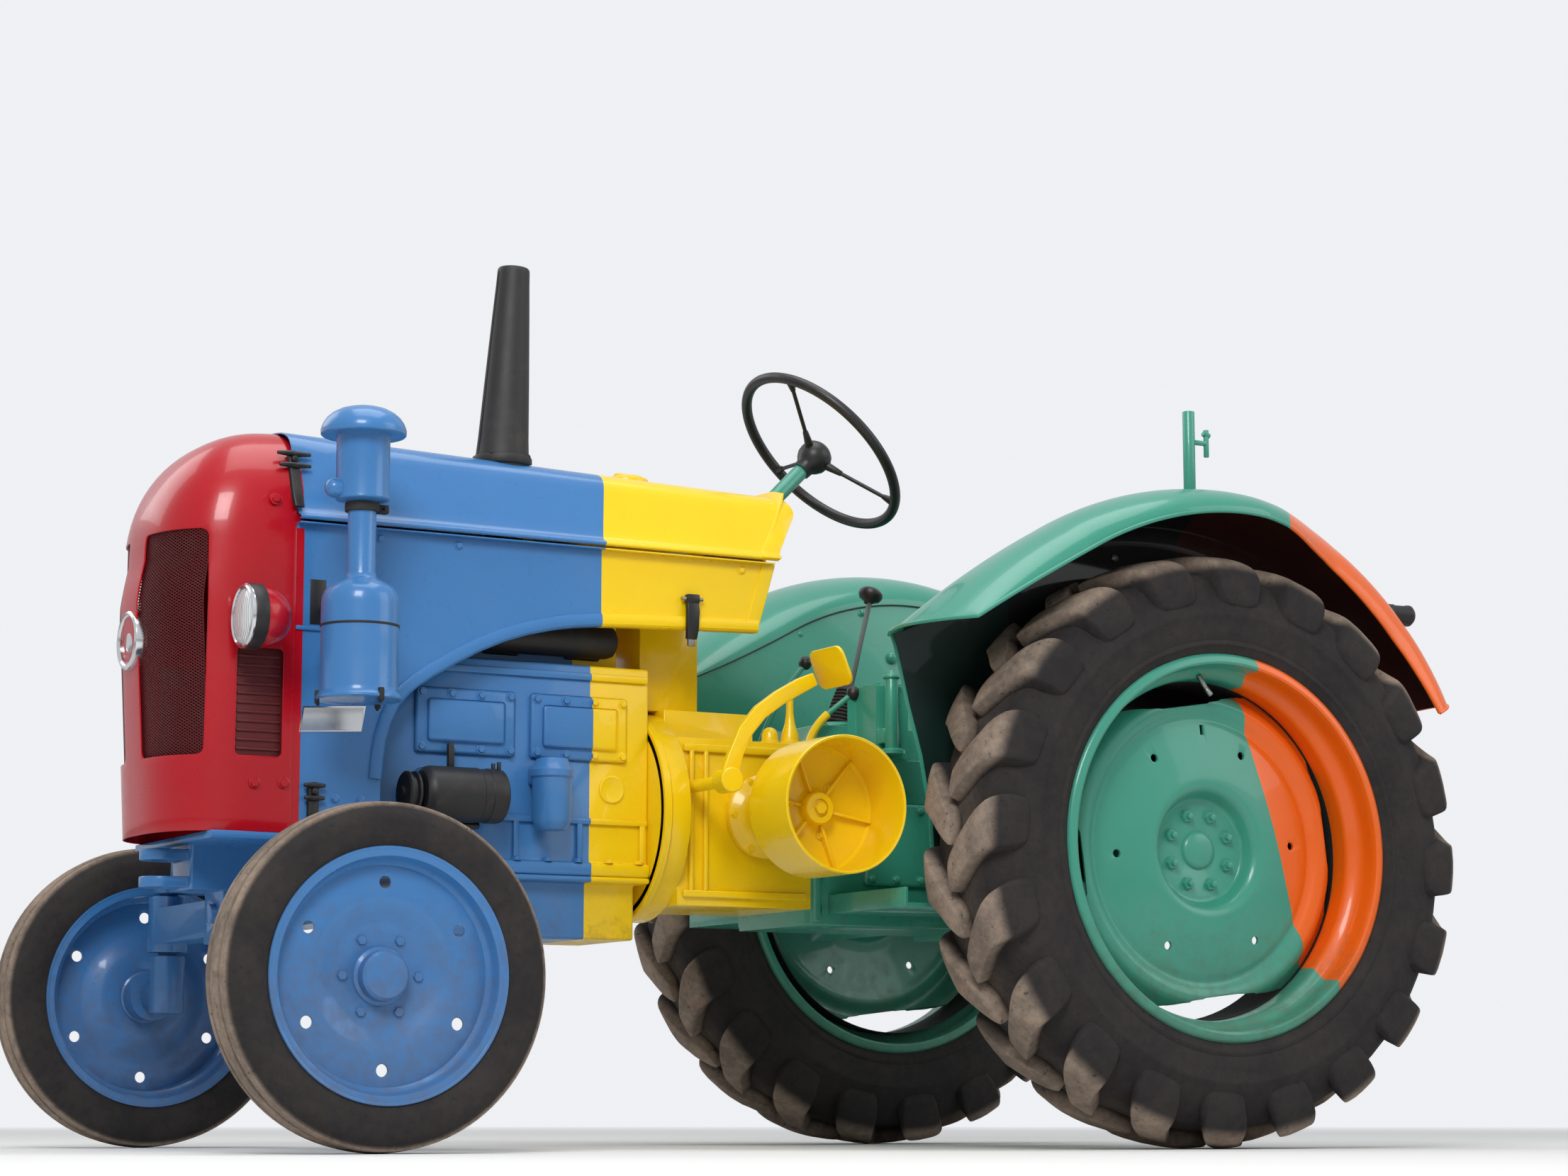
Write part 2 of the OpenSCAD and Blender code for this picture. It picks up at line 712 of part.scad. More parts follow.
module hood_side(side) {
    on_frame() color(blue) on_side(side) {
        plate_y(concat(
            [[back_low_x, panel_low_z]], arch_points,
            [[1552, 700], [1552, nose_low_z], [nose_joint_x, nose_low_z],
             [nose_joint_x, ledge_z], [back_ledge_x, ledge_z]]
        ), panel_half - sheet, panel_half);
        // The turned ledge that the hood's top rests on
        block([back_ledge_x + 4, panel_half - sheet, ledge_z - sheet],
              [nose_joint_x, ledge_half, ledge_z]);
    }
}

module dash_panel() {
    lean = [back_ledge_x - hood_back_x, hood_top_z - ledge_z];
    on_frame() color(green) difference() {
        intersection() {
            bar_of(both_sides([for (p = hood_outline(sheet + seat_gap)) p]), 600, 900);
            plate_y([
                [hood_back_x + 6, hood_top_z], [hood_back_x + 12, hood_top_z],
                [back_ledge_x + 12, ledge_z + 1], [back_ledge_x + 6, ledge_z + 1]
            ], -300, 300);
        }
        along_column(100) cylinder(r = column_r + seat_gap, h = 300);
    }
}

nose_top_z = hood_top_z + 4;

// A place along the nose, from 0 at the joint to 1 at its front
function nose_x(share) = nose_joint_x + share * (nose_reach - nose_joint_x);

// The nose's front edge in side view, as [x, z]
nose_front = [
    [nose_x(0.913), nose_low_z], [nose_x(0.936), nose_low_z + 185], [nose_x(0.96), nose_low_z + 299],
    [nose_x(1), nose_low_z + 414], [nose_x(1), nose_top_z - 169], [nose_x(0.976), nose_top_z - 130],
    [nose_x(0.897), nose_top_z - 91], [nose_x(0.786), nose_top_z - 59], [nose_x(0.643), nose_top_z - 31],
    [nose_x(0.48), nose_top_z - 13], [nose_x(0.31), nose_top_z - 3], [nose_joint_x, nose_top_z]
];

// Half of the nose in plan as [x, y], from the joint to the front, drawn in by an inset
function nose_plan(inset) = [
    [nose_joint_x - 1, nose_half - inset],
    [nose_x(0.464), nose_half - inset],
    [nose_x(0.631), nose_half - 8 - inset],
    [nose_x(0.79), nose_half - 36 - inset],
    [nose_x(0.893) - inset / 2, nose_half - 82 - inset / 2],
    [nose_x(0.964) - inset, nose_half - 134],
    [nose_x(1) - inset, 38]
];

// Half of the nose's section at the joint, as [y, z]
function nose_section(inset) = [
    [0, nose_top_z - inset], [104, nose_top_z - 5 - inset], [150, nose_top_z - 16 - inset],
    [172 - inset, nose_top_z - 41], [196 - inset, nose_top_z - 99], [nose_half - inset, nose_top_z - 151],
    [nose_half - inset, nose_low_z - 1]
];

module nose_solid(inset) {
    intersection() {
        linear_extrude(1400) polygon(concat(nose_plan(inset),
            [for (p = reversed(nose_plan(inset))) [p.x, -p.y]]));
        plate_y(concat([[nose_joint_x - 1, nose_low_z - (inset > 0 ? 10 : 0)]],
            [for (p = nose_front) [p.x - inset,
                p.y - (inset > 0 && p.y == nose_low_z ? 10 : p.y > nose_top_z - 151 ? inset : 0)]],
            [[nose_joint_x - 1, nose_top_z - inset]]), -300, 300);
        bar_of(both_sides(nose_section(inset)), nose_joint_x - 1, nose_reach + 10);
    }
}

grille_x = nose_x(0.687);
grille_low_z = nose_low_z + 86;
grille_high_z = nose_top_z - 151;
vent_x = nose_x(0.06);
vent_w = nose_x(0.333) - nose_x(0);
vent_low_z = nose_low_z + 116;
vent_high_z = nose_low_z + 276;

module nose_shell() {
    on_frame() color(red) difference() {
        nose_solid(0);
        nose_solid(sheet);
        block([nose_joint_x - 5, -300, 0], [nose_joint_x, 300, 1400]);
        // The two openings in the front that the mesh covers
        for (s = [-1, 1])
            block([grille_x, s > 0 ? 44 : -150, grille_low_z], [nose_reach + 21, s > 0 ? 150 : -44, grille_high_z]);
        // The openings low on the sides
        block([vent_x, -300, vent_low_z], [vent_x + vent_w, 300, vent_high_z]);
    }
}

module nose_grille() {
    inner = sheet + seat_gap;
    on_frame() color("#5a1018") {
        intersection() {
            difference() {
                nose_solid(inner);
                nose_solid(inner + 2);
            }
            for (s = [-1, 1])
                block([grille_x, s > 0 ? 40 : -154, grille_low_z - 4],
                    [nose_reach + 21, s > 0 ? 154 : -40, grille_high_z + 4]);
        }
        for (s = [-1, 1])
            block([vent_x - 4, s > 0 ? nose_half - inner - 2 : -nose_half + inner, vent_low_z - 4],
                  [vent_x + vent_w + 4, s > 0 ? nose_half - inner : -nose_half + inner + 2, vent_high_z + 4]);
    }
}

module nose_ring() {
    on_frame() color(chrome) difference() {
        bar_x(0, badge_z, 56, nose_reach - 20, nose_reach + 4);
        bar_x(0, badge_z, 44, nose_reach, nose_reach + 5);
        nose_solid(-seat_gap);
    }
}

badge_z = nose_low_z + 362;
lamp_x = nose_x(0.508);
lamp_y = nose_half + 77;
lamp_z = nose_low_z + 381;

module headlamps() {
    on_frame() color(black) for (s = [-1, 1]) on_side(s) {
        difference() {
            union() {
                bar_x(lamp_y, lamp_z, lamp_r, lamp_x - 18, lamp_x);
                translate([lamp_x - 55, lamp_y, lamp_z]) rotate([0, 90, 0])
                    cylinder(r1 = 24, r2 = lamp_r - 3, h = 37);
                block([lamp_x - 48, nose_half, lamp_z - 14], [lamp_x - 26, lamp_y - 20, lamp_z + 14]);
            }
            bar_x(lamp_y, lamp_z, lamp_r - 6, lamp_x - 8, lamp_x + 1);
        }
    }
}

module headlamp_glass() {
    on_frame() color(chrome) for (s = [-1, 1])
        bar_x(s * lamp_y, lamp_z, lamp_r - 6 - seat_gap, lamp_x - 8, lamp_x + 4);
}

// Exhaust and air cleaner

module exhaust_stack() {
    base_z = hood_top_z + 2;
    lean = 3;
    on_frame() color(black) {
        difference() {
            union() {
                bar_z(stack_x, stack_y, stack_foot_r + 14, base_z - 30, base_z + 8);
                translate([stack_x, stack_y, base_z]) rotate([0, -lean, 0])
                    cylinder(r1 = stack_foot_r, r2 = stack_top_r, h = (stack_top_z - base_z) / cos(lean));
            }
            translate([stack_x, stack_y, base_z]) rotate([0, -lean, 0]) translate([0, 0, 200])
                cylinder(r = stack_top_r - 4, h = 300);
            bar_of(both_sides(hood_outline(-seat_gap)), 1000, 1500);
        }
        // The spigot through the hood, on the manifold's riser
        bar_z(stack_x, stack_y, riser_r, hood_top_z - 20, base_z + 4);
    }
}

cleaner_x = 1660;
cleaner_y = 360;

module air_cleaner() {
    on_frame() color(blue) translate([cleaner_x, cleaner_y, 0]) {
        // Heights and radii from the bowl's clamp rim up to the cap
        rotate_extrude() polygon([
            [0, 812], [bowl_r + 3, 812], [bowl_r + 3, 822], [bowl_r, 828], [bowl_r, 938],
            [bowl_r + 2, 940], [bowl_r + 2, 948], [bowl_r, 950], [bowl_r, 1010], [bowl_r - 12, 1024],
            [36, 1034], [25, 1044], [25, 1158], [30, 1164], [56, 1180], [56, 1194], [49, 1200],
            [49, 1288], [60, 1294], [80, 1298], [80, 1316], [70, 1332], [44, 1342], [0, 1345]
        ]);
        for (z = [870, 975])
            block([-18, panel_half - cleaner_y, z], [18, -bowl_r + 12, z + 22]);
    }
}

// Transmission

module clutch_housing() {
    on_frame() color(yellow) {
        bar_x(0, 650, 208, 900, engine_back_x);
        block([gearbox_front_x, -gearbox_half, 470], [900, gearbox_half, 800]);
        block([700, -90, 800], [900, 90, box_low_z]);
        // The oil filler post
        bar_z(677, 120, 14, 800, 866);
    }
}

gear_lid_z = 848;

module gearbox() {
    on_frame() color(green) {
        block([165, -gearbox_half, 440], [gearbox_front_x, gearbox_half, 780]);
        block([200, -110, 780], [560, 110, gear_lid_z]);
        // The bracket box and its post on the left
        block([418, gearbox_half, 770], [515, gearbox_half + 80, 920]);
        bar_z(470, gearbox_half + 100, 14, 780, 935);
        block([450, gearbox_half + 80, 800], [490, gearbox_half + 100, 830]);
    }
}

module rear_axle() {
    on_frame() color(green) difference() {
        union() {
            block([-200, -170, 430], [165, 170, 800]);
            for (s = [-1, 1]) on_side(s) {
                bar_y(0, rear_r, 78, 170, trumpet_end_y);
                bar_y(0, rear_r, 96, trumpet_end_y - 22, trumpet_end_y);
                bar_y(0, rear_r, 120, 170, 190);
            }
            bar_x(0, 640, pto_r + 16, -220, -200);
            bar_x(0, 640, pto_r, -296, -200);
        }
        for (s = [-1, 1]) on_side(s)
            bar_y(0, rear_r, axle_shaft_r + run_gap, trumpet_end_y - 62, trumpet_end_y + 1);
    }
}

module rear_hitch() {
    on_frame() color(black) difference() {
        union() {
            block([-240, -60, 440], [-200, 60, 590]);
            for (z = [460, 550]) {
                block([-330, -45, z], [-240, 45, z + 24]);
                bar_z(-330, 0, 45, z, z + 24);
            }
        }
        bar_z(-330, 0, hitch_hole_r, 440, 600);
    }
}

// Belt pulley

pulley_x = 710;
pulley_z = 650;
pulley_shaft_r = 15;

module belt_pulley() {
    back = pulley_lip_y - pulley_w;
    on_frame() color(yellow) {
        turned_y(pulley_x, pulley_z, [
            [0, back - 2], [40, back - 2], [40, back + 10], [pulley_r - 8, back + 10],
            [pulley_r - 8, back], [pulley_r, back], [pulley_r, pulley_lip_y],
            [pulley_r - 8, pulley_lip_y], [pulley_r - 8, back + 20], [44, back + 20],
            [38, back + 60], [0, back + 60]
        ]);
        for (a = [0 : 60 : 300]) translate([pulley_x, back + 20, pulley_z]) rotate([0, a, 0])
            translate([40, 0, -4]) cube([pulley_r - 46, 30, 8]);
        bar_y(pulley_x, pulley_z, pulley_shaft_r, back - 62, back - 2);
    }
}

module pulley_drive() {
    back = pulley_lip_y - pulley_w;
    face = back - 2 - side_gap;
    on_frame() color(yellow) difference() {
        union() {
            bar_y(pulley_x, pulley_z, 78, gearbox_half, gearbox_half + 30);
            bar_y(pulley_x, pulley_z, 54, gearbox_half + 30, face);
            bar_y(pulley_x, pulley_z, 62, face - 16, face);
        }
        bar_y(pulley_x, pulley_z, pulley_shaft_r + run_gap, face - 62, face + 1);
    }
}

// Controls

module pedal(y, pivot, bends, pad) {
    pad_w = 70;
    bent_bar(concat([pivot], bends, [pad]), 34, y, y + 12);
    bar_y(pivot.x, pivot.y, 24, y - 6, y + 18);
    translate([pad.x, y + 6, pad.y]) rotate([0, -38, 0]) translate([-6, -pad_w / 2, -38])
        cube([12, pad_w, 84]);
}

module pedals() {
    on_frame() color(yellow) {
        pedal(326, [882, 700], [[846, 800], [780, 862], [710, 900]], [668, 928]);
        bar_y(882, 700, 14, gearbox_half, 332);
        on_side(-1) {
            for (y = [330, 410]) pedal(y, [740, 640], [[746, 760], [720, 860]], [668, 928]);
            bar_y(740, 640, 14, gearbox_half, 416);
        }
    }
}

module gear_lever() {
    on_frame() color(black) {
        difference() {
            translate([469, 50, 840]) rotate([0, -14, 0]) cylinder(r1 = 32, r2 = 24, h = 94);
            block([400, -20, 800], [540, 120, gear_lid_z]);
        }
        rod([452, 50, 910], [425, 48, 1022], 6);
        rod([425, 48, 1022], [370, 0, 1130], 6);
        translate([425, 48, 1022]) sphere(r = 7.5);
        translate([370, 0, 1140]) sphere(r = 22);
    }
}

// A straight round rod between two points
module rod(p, q, r) {
    d = [q.x - p.x, q.y - p.y, q.z - p.z];
    len_d = norm(d);
    tilt = acos(d.z / len_d);
    turn = atan2(d.y, d.x);
    translate(p) rotate([0, tilt, turn]) cylinder(r = r, h = len_d);
}

module side_levers() {
    on_frame() color(green) {
        bar_z(580, 125, 9, 780, 830);
        rod([580, 125, 824], [535, 150, 905], 6);
        translate([535, 150, 908]) rotate([90, 0, 0]) sphere(r = 15);
        bar_z(575, -125, 9, 780, 830);
        bar_z(575, -125, 6, 820, 952);
        translate([575, -125, 958]) rotate([90, 0, 0]) sphere(r = 15);
    }
}

module foot_plates() {
    on_frame() color(green) for (s = [-1, 1]) on_side(s) {
        block([250, gearbox_half, 462], [560, 446, 470]);
        block([250, gearbox_half, 440], [258, 446, 462]);
        block([552, gearbox_half, 470], [560, 446, 500]);
    }
}

// Fenders

fender_sheet = 4;
inner_r = 606;      // radius of the seam with the inner plate
lip_r = 628;        // radius of the outer lip
front_bend = 31;    // angle from vertical at which the arc runs into the straight front

// Points of the crown's section as [radius, y], from the inner seam over the ridge to the lip
function crown(t) = concat(
    [for (a = [0 : 15 : 90]) [inner_r + (fender_r - inner_r - t) * sin(a),
        fender_ridge_y - (fender_ridge_y - trumpet_end_y - t) * cos(a)]],
    [for (a = [15 : 15 : 90]) [lip_r + (fender_r - lip_r - t) * cos(a),
        fender_ridge_y + (fender_lip_y - fender_ridge_y - t) * sin(a)]]
);

function reversed(points) = [for (i = [len(points) - 1 : -1 : 0]) points[i]];

// The crown's section with a strip of the flat inner plate
module crown_section() {
    polygon(concat([[inner_r - 46, trumpet_end_y]], crown(0), reversed(crown(fender_sheet)),
        [[inner_r - 46, trumpet_end_y + fender_sheet]]));
}

// A point of the fender's side view at a radius, at an angle forward from vertical
function around(r, a) = [r * sin(a), fender_centre_z + r * cos(a)];

module fender(side) {
    c = fender_centre_z;
    // Where the seam's straight front reaches the height of the front edge
    bend = around(inner_r, front_bend);
    front = bend + (bend.y - fender_front_z) / tan(front_bend) * [1, -tan(front_bend)];
    on_frame() color(green) on_side(side) difference() {
        union() {
            difference() {
                union() {
                    translate([0, 0, c]) rotate([-90, 0, 0]) rotate([0, 0, -90 - fender_back_angle])
                        rotate_extrude(angle = front_bend + fender_back_angle, $fn = 240) crown_section();
                    // The straight front, along the arc's last direction
                    translate([0, 0, c]) rotate([0, front_bend, 0])
                        rotate([90, 0, 90]) linear_extrude(520) rotate([0, 0, 90]) mirror([0, 1])
                            crown_section();
                }
                block([400, 0, 0], [1200, 900, fender_front_z]);
            }
            // The rest of the flat inner plate
            plate_y(concat(
                [[-380, 520], front + [-46, 520 - fender_front_z], front, front + [-38, 12]],
                [for (a = [front_bend : -5 : 2 - fender_back_angle]) around(inner_r - 20, a)],
                [around(inner_r - 20, 0.5 - fender_back_angle)]
            ), trumpet_end_y, trumpet_end_y + fender_sheet);
        }
        bar_y(0, rear_r, axle_shaft_r + 12, 400, 480);
    }
}

// The space that a fender's arc takes up, with a little room
module crown_filled() {
    translate([0, 0, fender_centre_z]) rotate([-90, 0, 0])
        rotate_extrude($fn = 240)
            polygon(concat([[0, trumpet_end_y]], crown(-seat_gap), [[0, fender_lip_y]]));
}

module lamp_post() {
    x = -52;
    y = 560;
    on_frame() color(green) difference() {
        union() {
            bar_z(x, y, 11.5, 1240, 1474);
            bar_z(x, y, 20, 1240, 1290);
            block([x - 36, y - 5, 1410], [x - 8, y + 5, 1420]);
            bar_z(x - 38, y, 6, 1386, 1444);
        }
        crown_filled();
    }
}

module tail_lamps() {
    on_frame() color("#6a1016") for (s = [-1, 1]) on_side(s) difference() {
        bar_x(fender_ridge_y - 30, 1085, 26, -556, -430);
        crown_filled();
    }
}

// Seat

seat_z = 912;

module seat_pan() {
    on_frame() color(green) translate([-20, 0, seat_z])
        rotate_extrude() polygon([
            [0, 0], [90, 2], [150, 12], [190, 34], [seat_r, 70], [seat_r - 5, 74],
            [184, 40], [148, 17], [90, 7], [0, 5]
        ]);
}

module seat_spring() {
    on_frame() color(black) plate_y([
        [285, gear_lid_z], [205, gear_lid_z], [160, gear_lid_z + 14], [80, seat_z - 22],
        [40, seat_z - 10], [-80, seat_z - 10], [-80, seat_z], [44, seat_z], [84, seat_z - 12],
        [164, gear_lid_z + 24], [209, gear_lid_z + 10], [285, gear_lid_z + 10]
    ], -30, 30);
}

front_support();
front_axle();
engine_block();
cylinder_head();
oil_sump();
exhaust_manifold();
injection_pump();
dynamo();
radiator();
nose_shell();
nose_grille();
nose_ring();
headlamps();
headlamp_glass();
hood_top();
hood_side(1);  // hood_side_left
hood_side(-1);  // hood_side_right
fuel_tank();
filler_cap();
dash_panel();
exhaust_stack();
air_cleaner();
steering_column();
clutch_housing();
gearbox();
rear_axle();
pulley_drive();
pedals();
gear_lever();
side_levers();
foot_plates();
fender(1);  // fender_left
fender(-1);  // fender_right
seat_pan();
seat_spring();
lamp_post();
tail_lamps();
rear_hitch();
steering_wheel();
belt_pulley();
knuckle(1);  // knuckle_left
knuckle(-1);  // knuckle_right
tie_rod();
drag_link();
drop_arm_lever();
rear_tyre(1);  // rear_tyre_left
rear_rim(1);  // rear_rim_left
rear_tyre(-1);  // rear_tyre_right
rear_rim(-1);  // rear_rim_right
front_tyre(1);  // front_tyre_left
front_rim(1);  // front_rim_left
front_tyre(-1);  // front_tyre_right
front_rim(-1);  // front_rim_right
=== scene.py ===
"""Looks of a vintage farm tractor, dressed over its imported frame.

Pieces are laid out in millimetres from the ground under the rear axle, X forward, Y to the left
and Z up. at() turns such a point into the shared frame's metres.
"""

import math

import bmesh
import bpy
from mathutils import Matrix, Vector


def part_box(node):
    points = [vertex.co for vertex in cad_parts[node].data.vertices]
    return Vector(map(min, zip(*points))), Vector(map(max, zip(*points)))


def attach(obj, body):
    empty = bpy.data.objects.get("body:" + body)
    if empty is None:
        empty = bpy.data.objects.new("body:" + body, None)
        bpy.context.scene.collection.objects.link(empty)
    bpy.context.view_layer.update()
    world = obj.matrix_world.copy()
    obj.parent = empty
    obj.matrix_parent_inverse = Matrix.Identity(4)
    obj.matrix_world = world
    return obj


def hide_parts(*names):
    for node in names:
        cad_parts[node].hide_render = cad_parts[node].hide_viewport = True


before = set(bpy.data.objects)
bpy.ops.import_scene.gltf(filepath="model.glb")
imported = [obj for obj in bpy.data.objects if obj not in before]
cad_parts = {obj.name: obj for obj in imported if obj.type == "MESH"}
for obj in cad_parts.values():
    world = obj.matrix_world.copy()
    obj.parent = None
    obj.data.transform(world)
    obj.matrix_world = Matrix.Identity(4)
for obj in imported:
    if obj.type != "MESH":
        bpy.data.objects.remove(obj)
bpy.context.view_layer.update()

# The rear axle's place in the frame, in metres
tyre_low, tyre_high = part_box("rear_tyre_left")
AXLE_X = (tyre_low.x + tyre_high.x) / 2

# Measures shared by several pieces, in millimetres, with turns in degrees

# Wheels: their radius, their distance from the middle plane, the lugs on each side of a rear tyre and the
# turn of the first one
REAR_R = 578
REAR_Y = 622
LUG_COUNT = 20
LUG_TURN = 7.91
FRONT_X = 1715
FRONT_R = 300
FRONT_Y = 610
FENDER_Z = 600

# Hood: its ridge, how far its back edge leans, the ledge above the side panels, and half their distance
HOOD_TOP = 1327
HOOD_LEAN = 89
LEDGE_Z = 1151
PANEL_HALF = 206

# Nose: its joint to the hood, half its width, its lower edge, the height where the crown starts and how
# high it rises, where the sides start to curve and how deep that curve is
NOSE_JOINT = 1727
NOSE_HALF = 210
NOSE_LOW = 574
NOSE_CROWN = 1080
NOSE_RISE = 263
NOSE_STRAIGHT = 1790
NOSE_DEEP = 189
BADGE_Z = 936

# Places: the left lamp as (x, y, z), the air cleaner and the stack as (x, y), the pulley as (x, z) with its
# outer edge's y, the hole for the filler and the cap as seen, and the steering wheel
LAMP = (1855, 287, 955)
CLEANER = (1660, 360)
STACK = (1258, 86)
PULLEY = (710, 650)
PULLEY_LIP = 484
CAP_X = 967
CAP_SEEN = 942
WHEEL_HUB = (490, 0, 1436)
COLUMN_TILT = 45

# Half the width of the engine's and of the gearbox's block
ENGINE_HALF = 140
BOX_HALF = 150


def at(x, y, z):
    return Vector((AXLE_X + x / 1000, y / 1000, z / 1000))


def mm(*values):
    return Vector([value / 1000 for value in values])


def path(*places):
    return [at(*place) for place in places]


# Modelling tools


def alone(piece):
    bpy.ops.object.select_all(action="DESELECT")
    bpy.context.view_layer.objects.active = piece
    piece.select_set(True)


def editing(piece):
    alone(piece)
    bpy.ops.object.mode_set(mode="EDIT")
    bpy.ops.mesh.select_mode(type="VERT")
    bpy.ops.mesh.select_all(action="SELECT")


def edited():
    bpy.ops.object.mode_set(mode="OBJECT")


def face_outwards():
    """Turns all faces of the piece in edit mode outwards."""
    bpy.ops.mesh.select_all(action="SELECT")
    bpy.ops.mesh.normals_make_consistent(inside=False)


def sliced(where, normal, **cleared):
    """Cuts the piece in edit mode at a plane and clears one side of it."""
    bpy.ops.mesh.select_all(action="SELECT")
    bpy.ops.mesh.bisect(plane_co=where, plane_no=normal, **cleared)


def picked(piece, chosen, kind="VERT"):
    """Selects the vertices, edges or faces of a piece in edit mode that a test accepts."""
    bpy.ops.mesh.select_mode(type=kind)
    bpy.ops.mesh.select_all(action="DESELECT")
    mesh = bmesh.from_edit_mesh(piece.data)
    parts = {"VERT": mesh.verts, "EDGE": mesh.edges, "FACE": mesh.faces}[kind]
    for part in parts:
        part.select = bool(chosen(part))
    mesh.select_flush_mode()
    bmesh.update_edit_mesh(piece.data)


def drawn(name, points, closed=False):
    """A line of edges, extruded from one vertex to the next."""
    bpy.ops.object.select_all(action="DESELECT")
    bpy.ops.mesh.primitive_plane_add(size=0.01)
    piece = bpy.context.object
    piece.name = name
    editing(piece)
    bpy.ops.mesh.merge(type="CENTER")
    bpy.ops.transform.translate(value=points[0])
    for start, end in zip(points, points[1:]):
        step = Vector(end) - Vector(start)
        bpy.ops.mesh.extrude_region_move(TRANSFORM_OT_translate={"value": step})
    if closed:
        bpy.ops.mesh.select_all(action="SELECT")
        bpy.ops.mesh.edge_face_add()
    edited()
    return piece


def extruded(flat, step):
    """A drawn face made a solid by one step."""
    editing(flat)
    bpy.ops.mesh.extrude_region_move(TRANSFORM_OT_translate={"value": step})
    face_outwards()
    edited()
    return flat


def put(piece, where=(0, 0, 0), turn=(0, 0, 0)):
    """Places a piece, with its place in its mesh."""
    alone(piece)
    piece.location = where
    piece.rotation_euler = turn
    bpy.ops.object.transform_apply(location=True, rotation=True, scale=True)
    return piece


def moved(piece, matrix):
    alone(piece)
    piece.matrix_world = matrix
    bpy.ops.object.transform_apply(location=True, rotation=True, scale=True)
    return piece


# Turns that lay a piece's Z axis along the frame's axes, and outwards on either side
UP = (0, 0, 0)
TO_X = (0, math.pi / 2, 0)
TO_LEFT = (-math.pi / 2, 0, 0)
TO_RIGHT = (math.pi / 2, 0, 0)
OUTWARDS = {1: TO_LEFT, -1: TO_RIGHT}


def lathe(name, points, where=(0, 0, 0), turn=UP, steps=64, angle=math.tau):
    """A piece turned about its own Z axis from [radius, height] points in millimetres."""
    piece = drawn(name, [mm(radius, 0, height) for radius, height in points])
    editing(piece)
    bpy.ops.mesh.spin(steps=steps, angle=angle, center=(0, 0, 0), axis=(0, 0, 1),
                      use_auto_merge=angle == math.tau)
    bpy.ops.mesh.select_all(action="SELECT")
    bpy.ops.mesh.remove_doubles(threshold=0.00002)
    face_outwards()
    edited()
    return put(piece, where, turn)


def pushed(name, outline, depth, where=(0, 0, 0), turn=UP):
    """A flat outline of [x, y] points in millimetres, extruded up by a depth."""
    flat = drawn(name, [mm(x, y, 0) for x, y in outline], closed=True)
    return put(extruded(flat, (0, 0, depth / 1000)), where, turn)


def skin(name, rows, wrapped=False):
    """A grid whose rows of vertices are moved onto rows of points."""
    high, wide = len(rows), len(rows[0])
    bpy.ops.object.select_all(action="DESELECT")
    bpy.ops.mesh.primitive_grid_add(x_subdivisions=wide - 1, y_subdivisions=high - 1, size=1)
    piece = bpy.context.object
    piece.name = name
    editing(piece)
    mesh = bmesh.from_edit_mesh(piece.data)
    order = sorted(mesh.verts, key=lambda v: (round(v.co.y, 4), round(v.co.x, 4)))
    for vertex, point in zip(order, [point for row in rows for point in row]):
        vertex.co = point
    bmesh.update_edit_mesh(piece.data)
    if wrapped:
        bpy.ops.mesh.remove_doubles(threshold=0.00002)
    face_outwards()
    edited()
    return piece


def modified(piece, kind, **settings):
    """Adds a modifier with its settings and applies it."""
    alone(piece)
    added = piece.modifiers.new(kind.lower(), kind)
    for key, value in settings.items():
        setattr(added, key, value)
    bpy.ops.object.modifier_apply(modifier=added.name)
    return piece


def rounded(piece, width, segments=2, turn=34):
    return modified(piece, "BEVEL", width=width / 1000, segments=segments, limit_method="ANGLE",
                    angle_limit=math.radians(turn), use_clamp_overlap=True)


def walled(piece, thickness, offset=-1):
    return modified(piece, "SOLIDIFY", thickness=thickness / 1000, offset=offset, use_even_offset=True)


def cut(piece, cutter):
    """Takes a cutter's shape away from a piece."""
    modified(piece, "BOOLEAN", operation="DIFFERENCE", object=cutter, solver="EXACT")
    bpy.data.objects.remove(cutter)
    return piece


def joined(name, parts):
    bpy.ops.object.select_all(action="DESELECT")
    for part in parts:
        part.select_set(True)
    bpy.context.view_layer.objects.active = parts[0]
    bpy.ops.object.join()
    parts[0].name = name
    return parts[0]


def copied(piece, matrix=None):
    alone(piece)
    bpy.ops.object.duplicate()
    twin = bpy.context.object
    if matrix is not None:
        moved(twin, matrix)
    return twin


def stepwise(line, place):
    """The value at a place on a line of (place, value) points."""
    for (place0, value0), (place1, value1) in zip(line, line[1:]):
        if place0 <= place <= place1:
            return value0 + (value1 - value0) * (place - place0) / (place1 - place0)
    return line[-1][1]


def run_at(line, index):
    """The direction of a line of [x, z] points at one of them."""
    before = line[max(index - 1, 0)]
    after = line[min(index + 1, len(line) - 1)]
    return Vector((after[0] - before[0], after[1] - before[1])).normalized()


def turned_over(line):
    """The other half of a profile that is the same on both sides of a wheel's middle."""
    return [(r, -height) for r, height in reversed(line)]


def radial(turn):
    """The direction at a turn forward from the top of a wheel."""
    turn = math.radians(turn)
    return Vector((math.sin(turn), 0, math.cos(turn)))


def round_axle(centre, radius, turn, out=0):
    """A point at a radius from an axle, in its turn from the top, and out to the left along it."""
    return centre + radial(turn) * (radius / 1000) + mm(0, out, 0)


def about(point, axis, angle):
    """A turn by an angle in degrees about a line through a point."""
    turn = Matrix.Rotation(math.radians(angle), 4, axis)
    return Matrix.Translation(point) @ turn @ Matrix.Translation(-point)


def tilted(where, angle):
    """A place with a turn in degrees about the axis across the tractor."""
    return Matrix.Translation(where) @ Matrix.Rotation(math.radians(angle), 4, "Y")


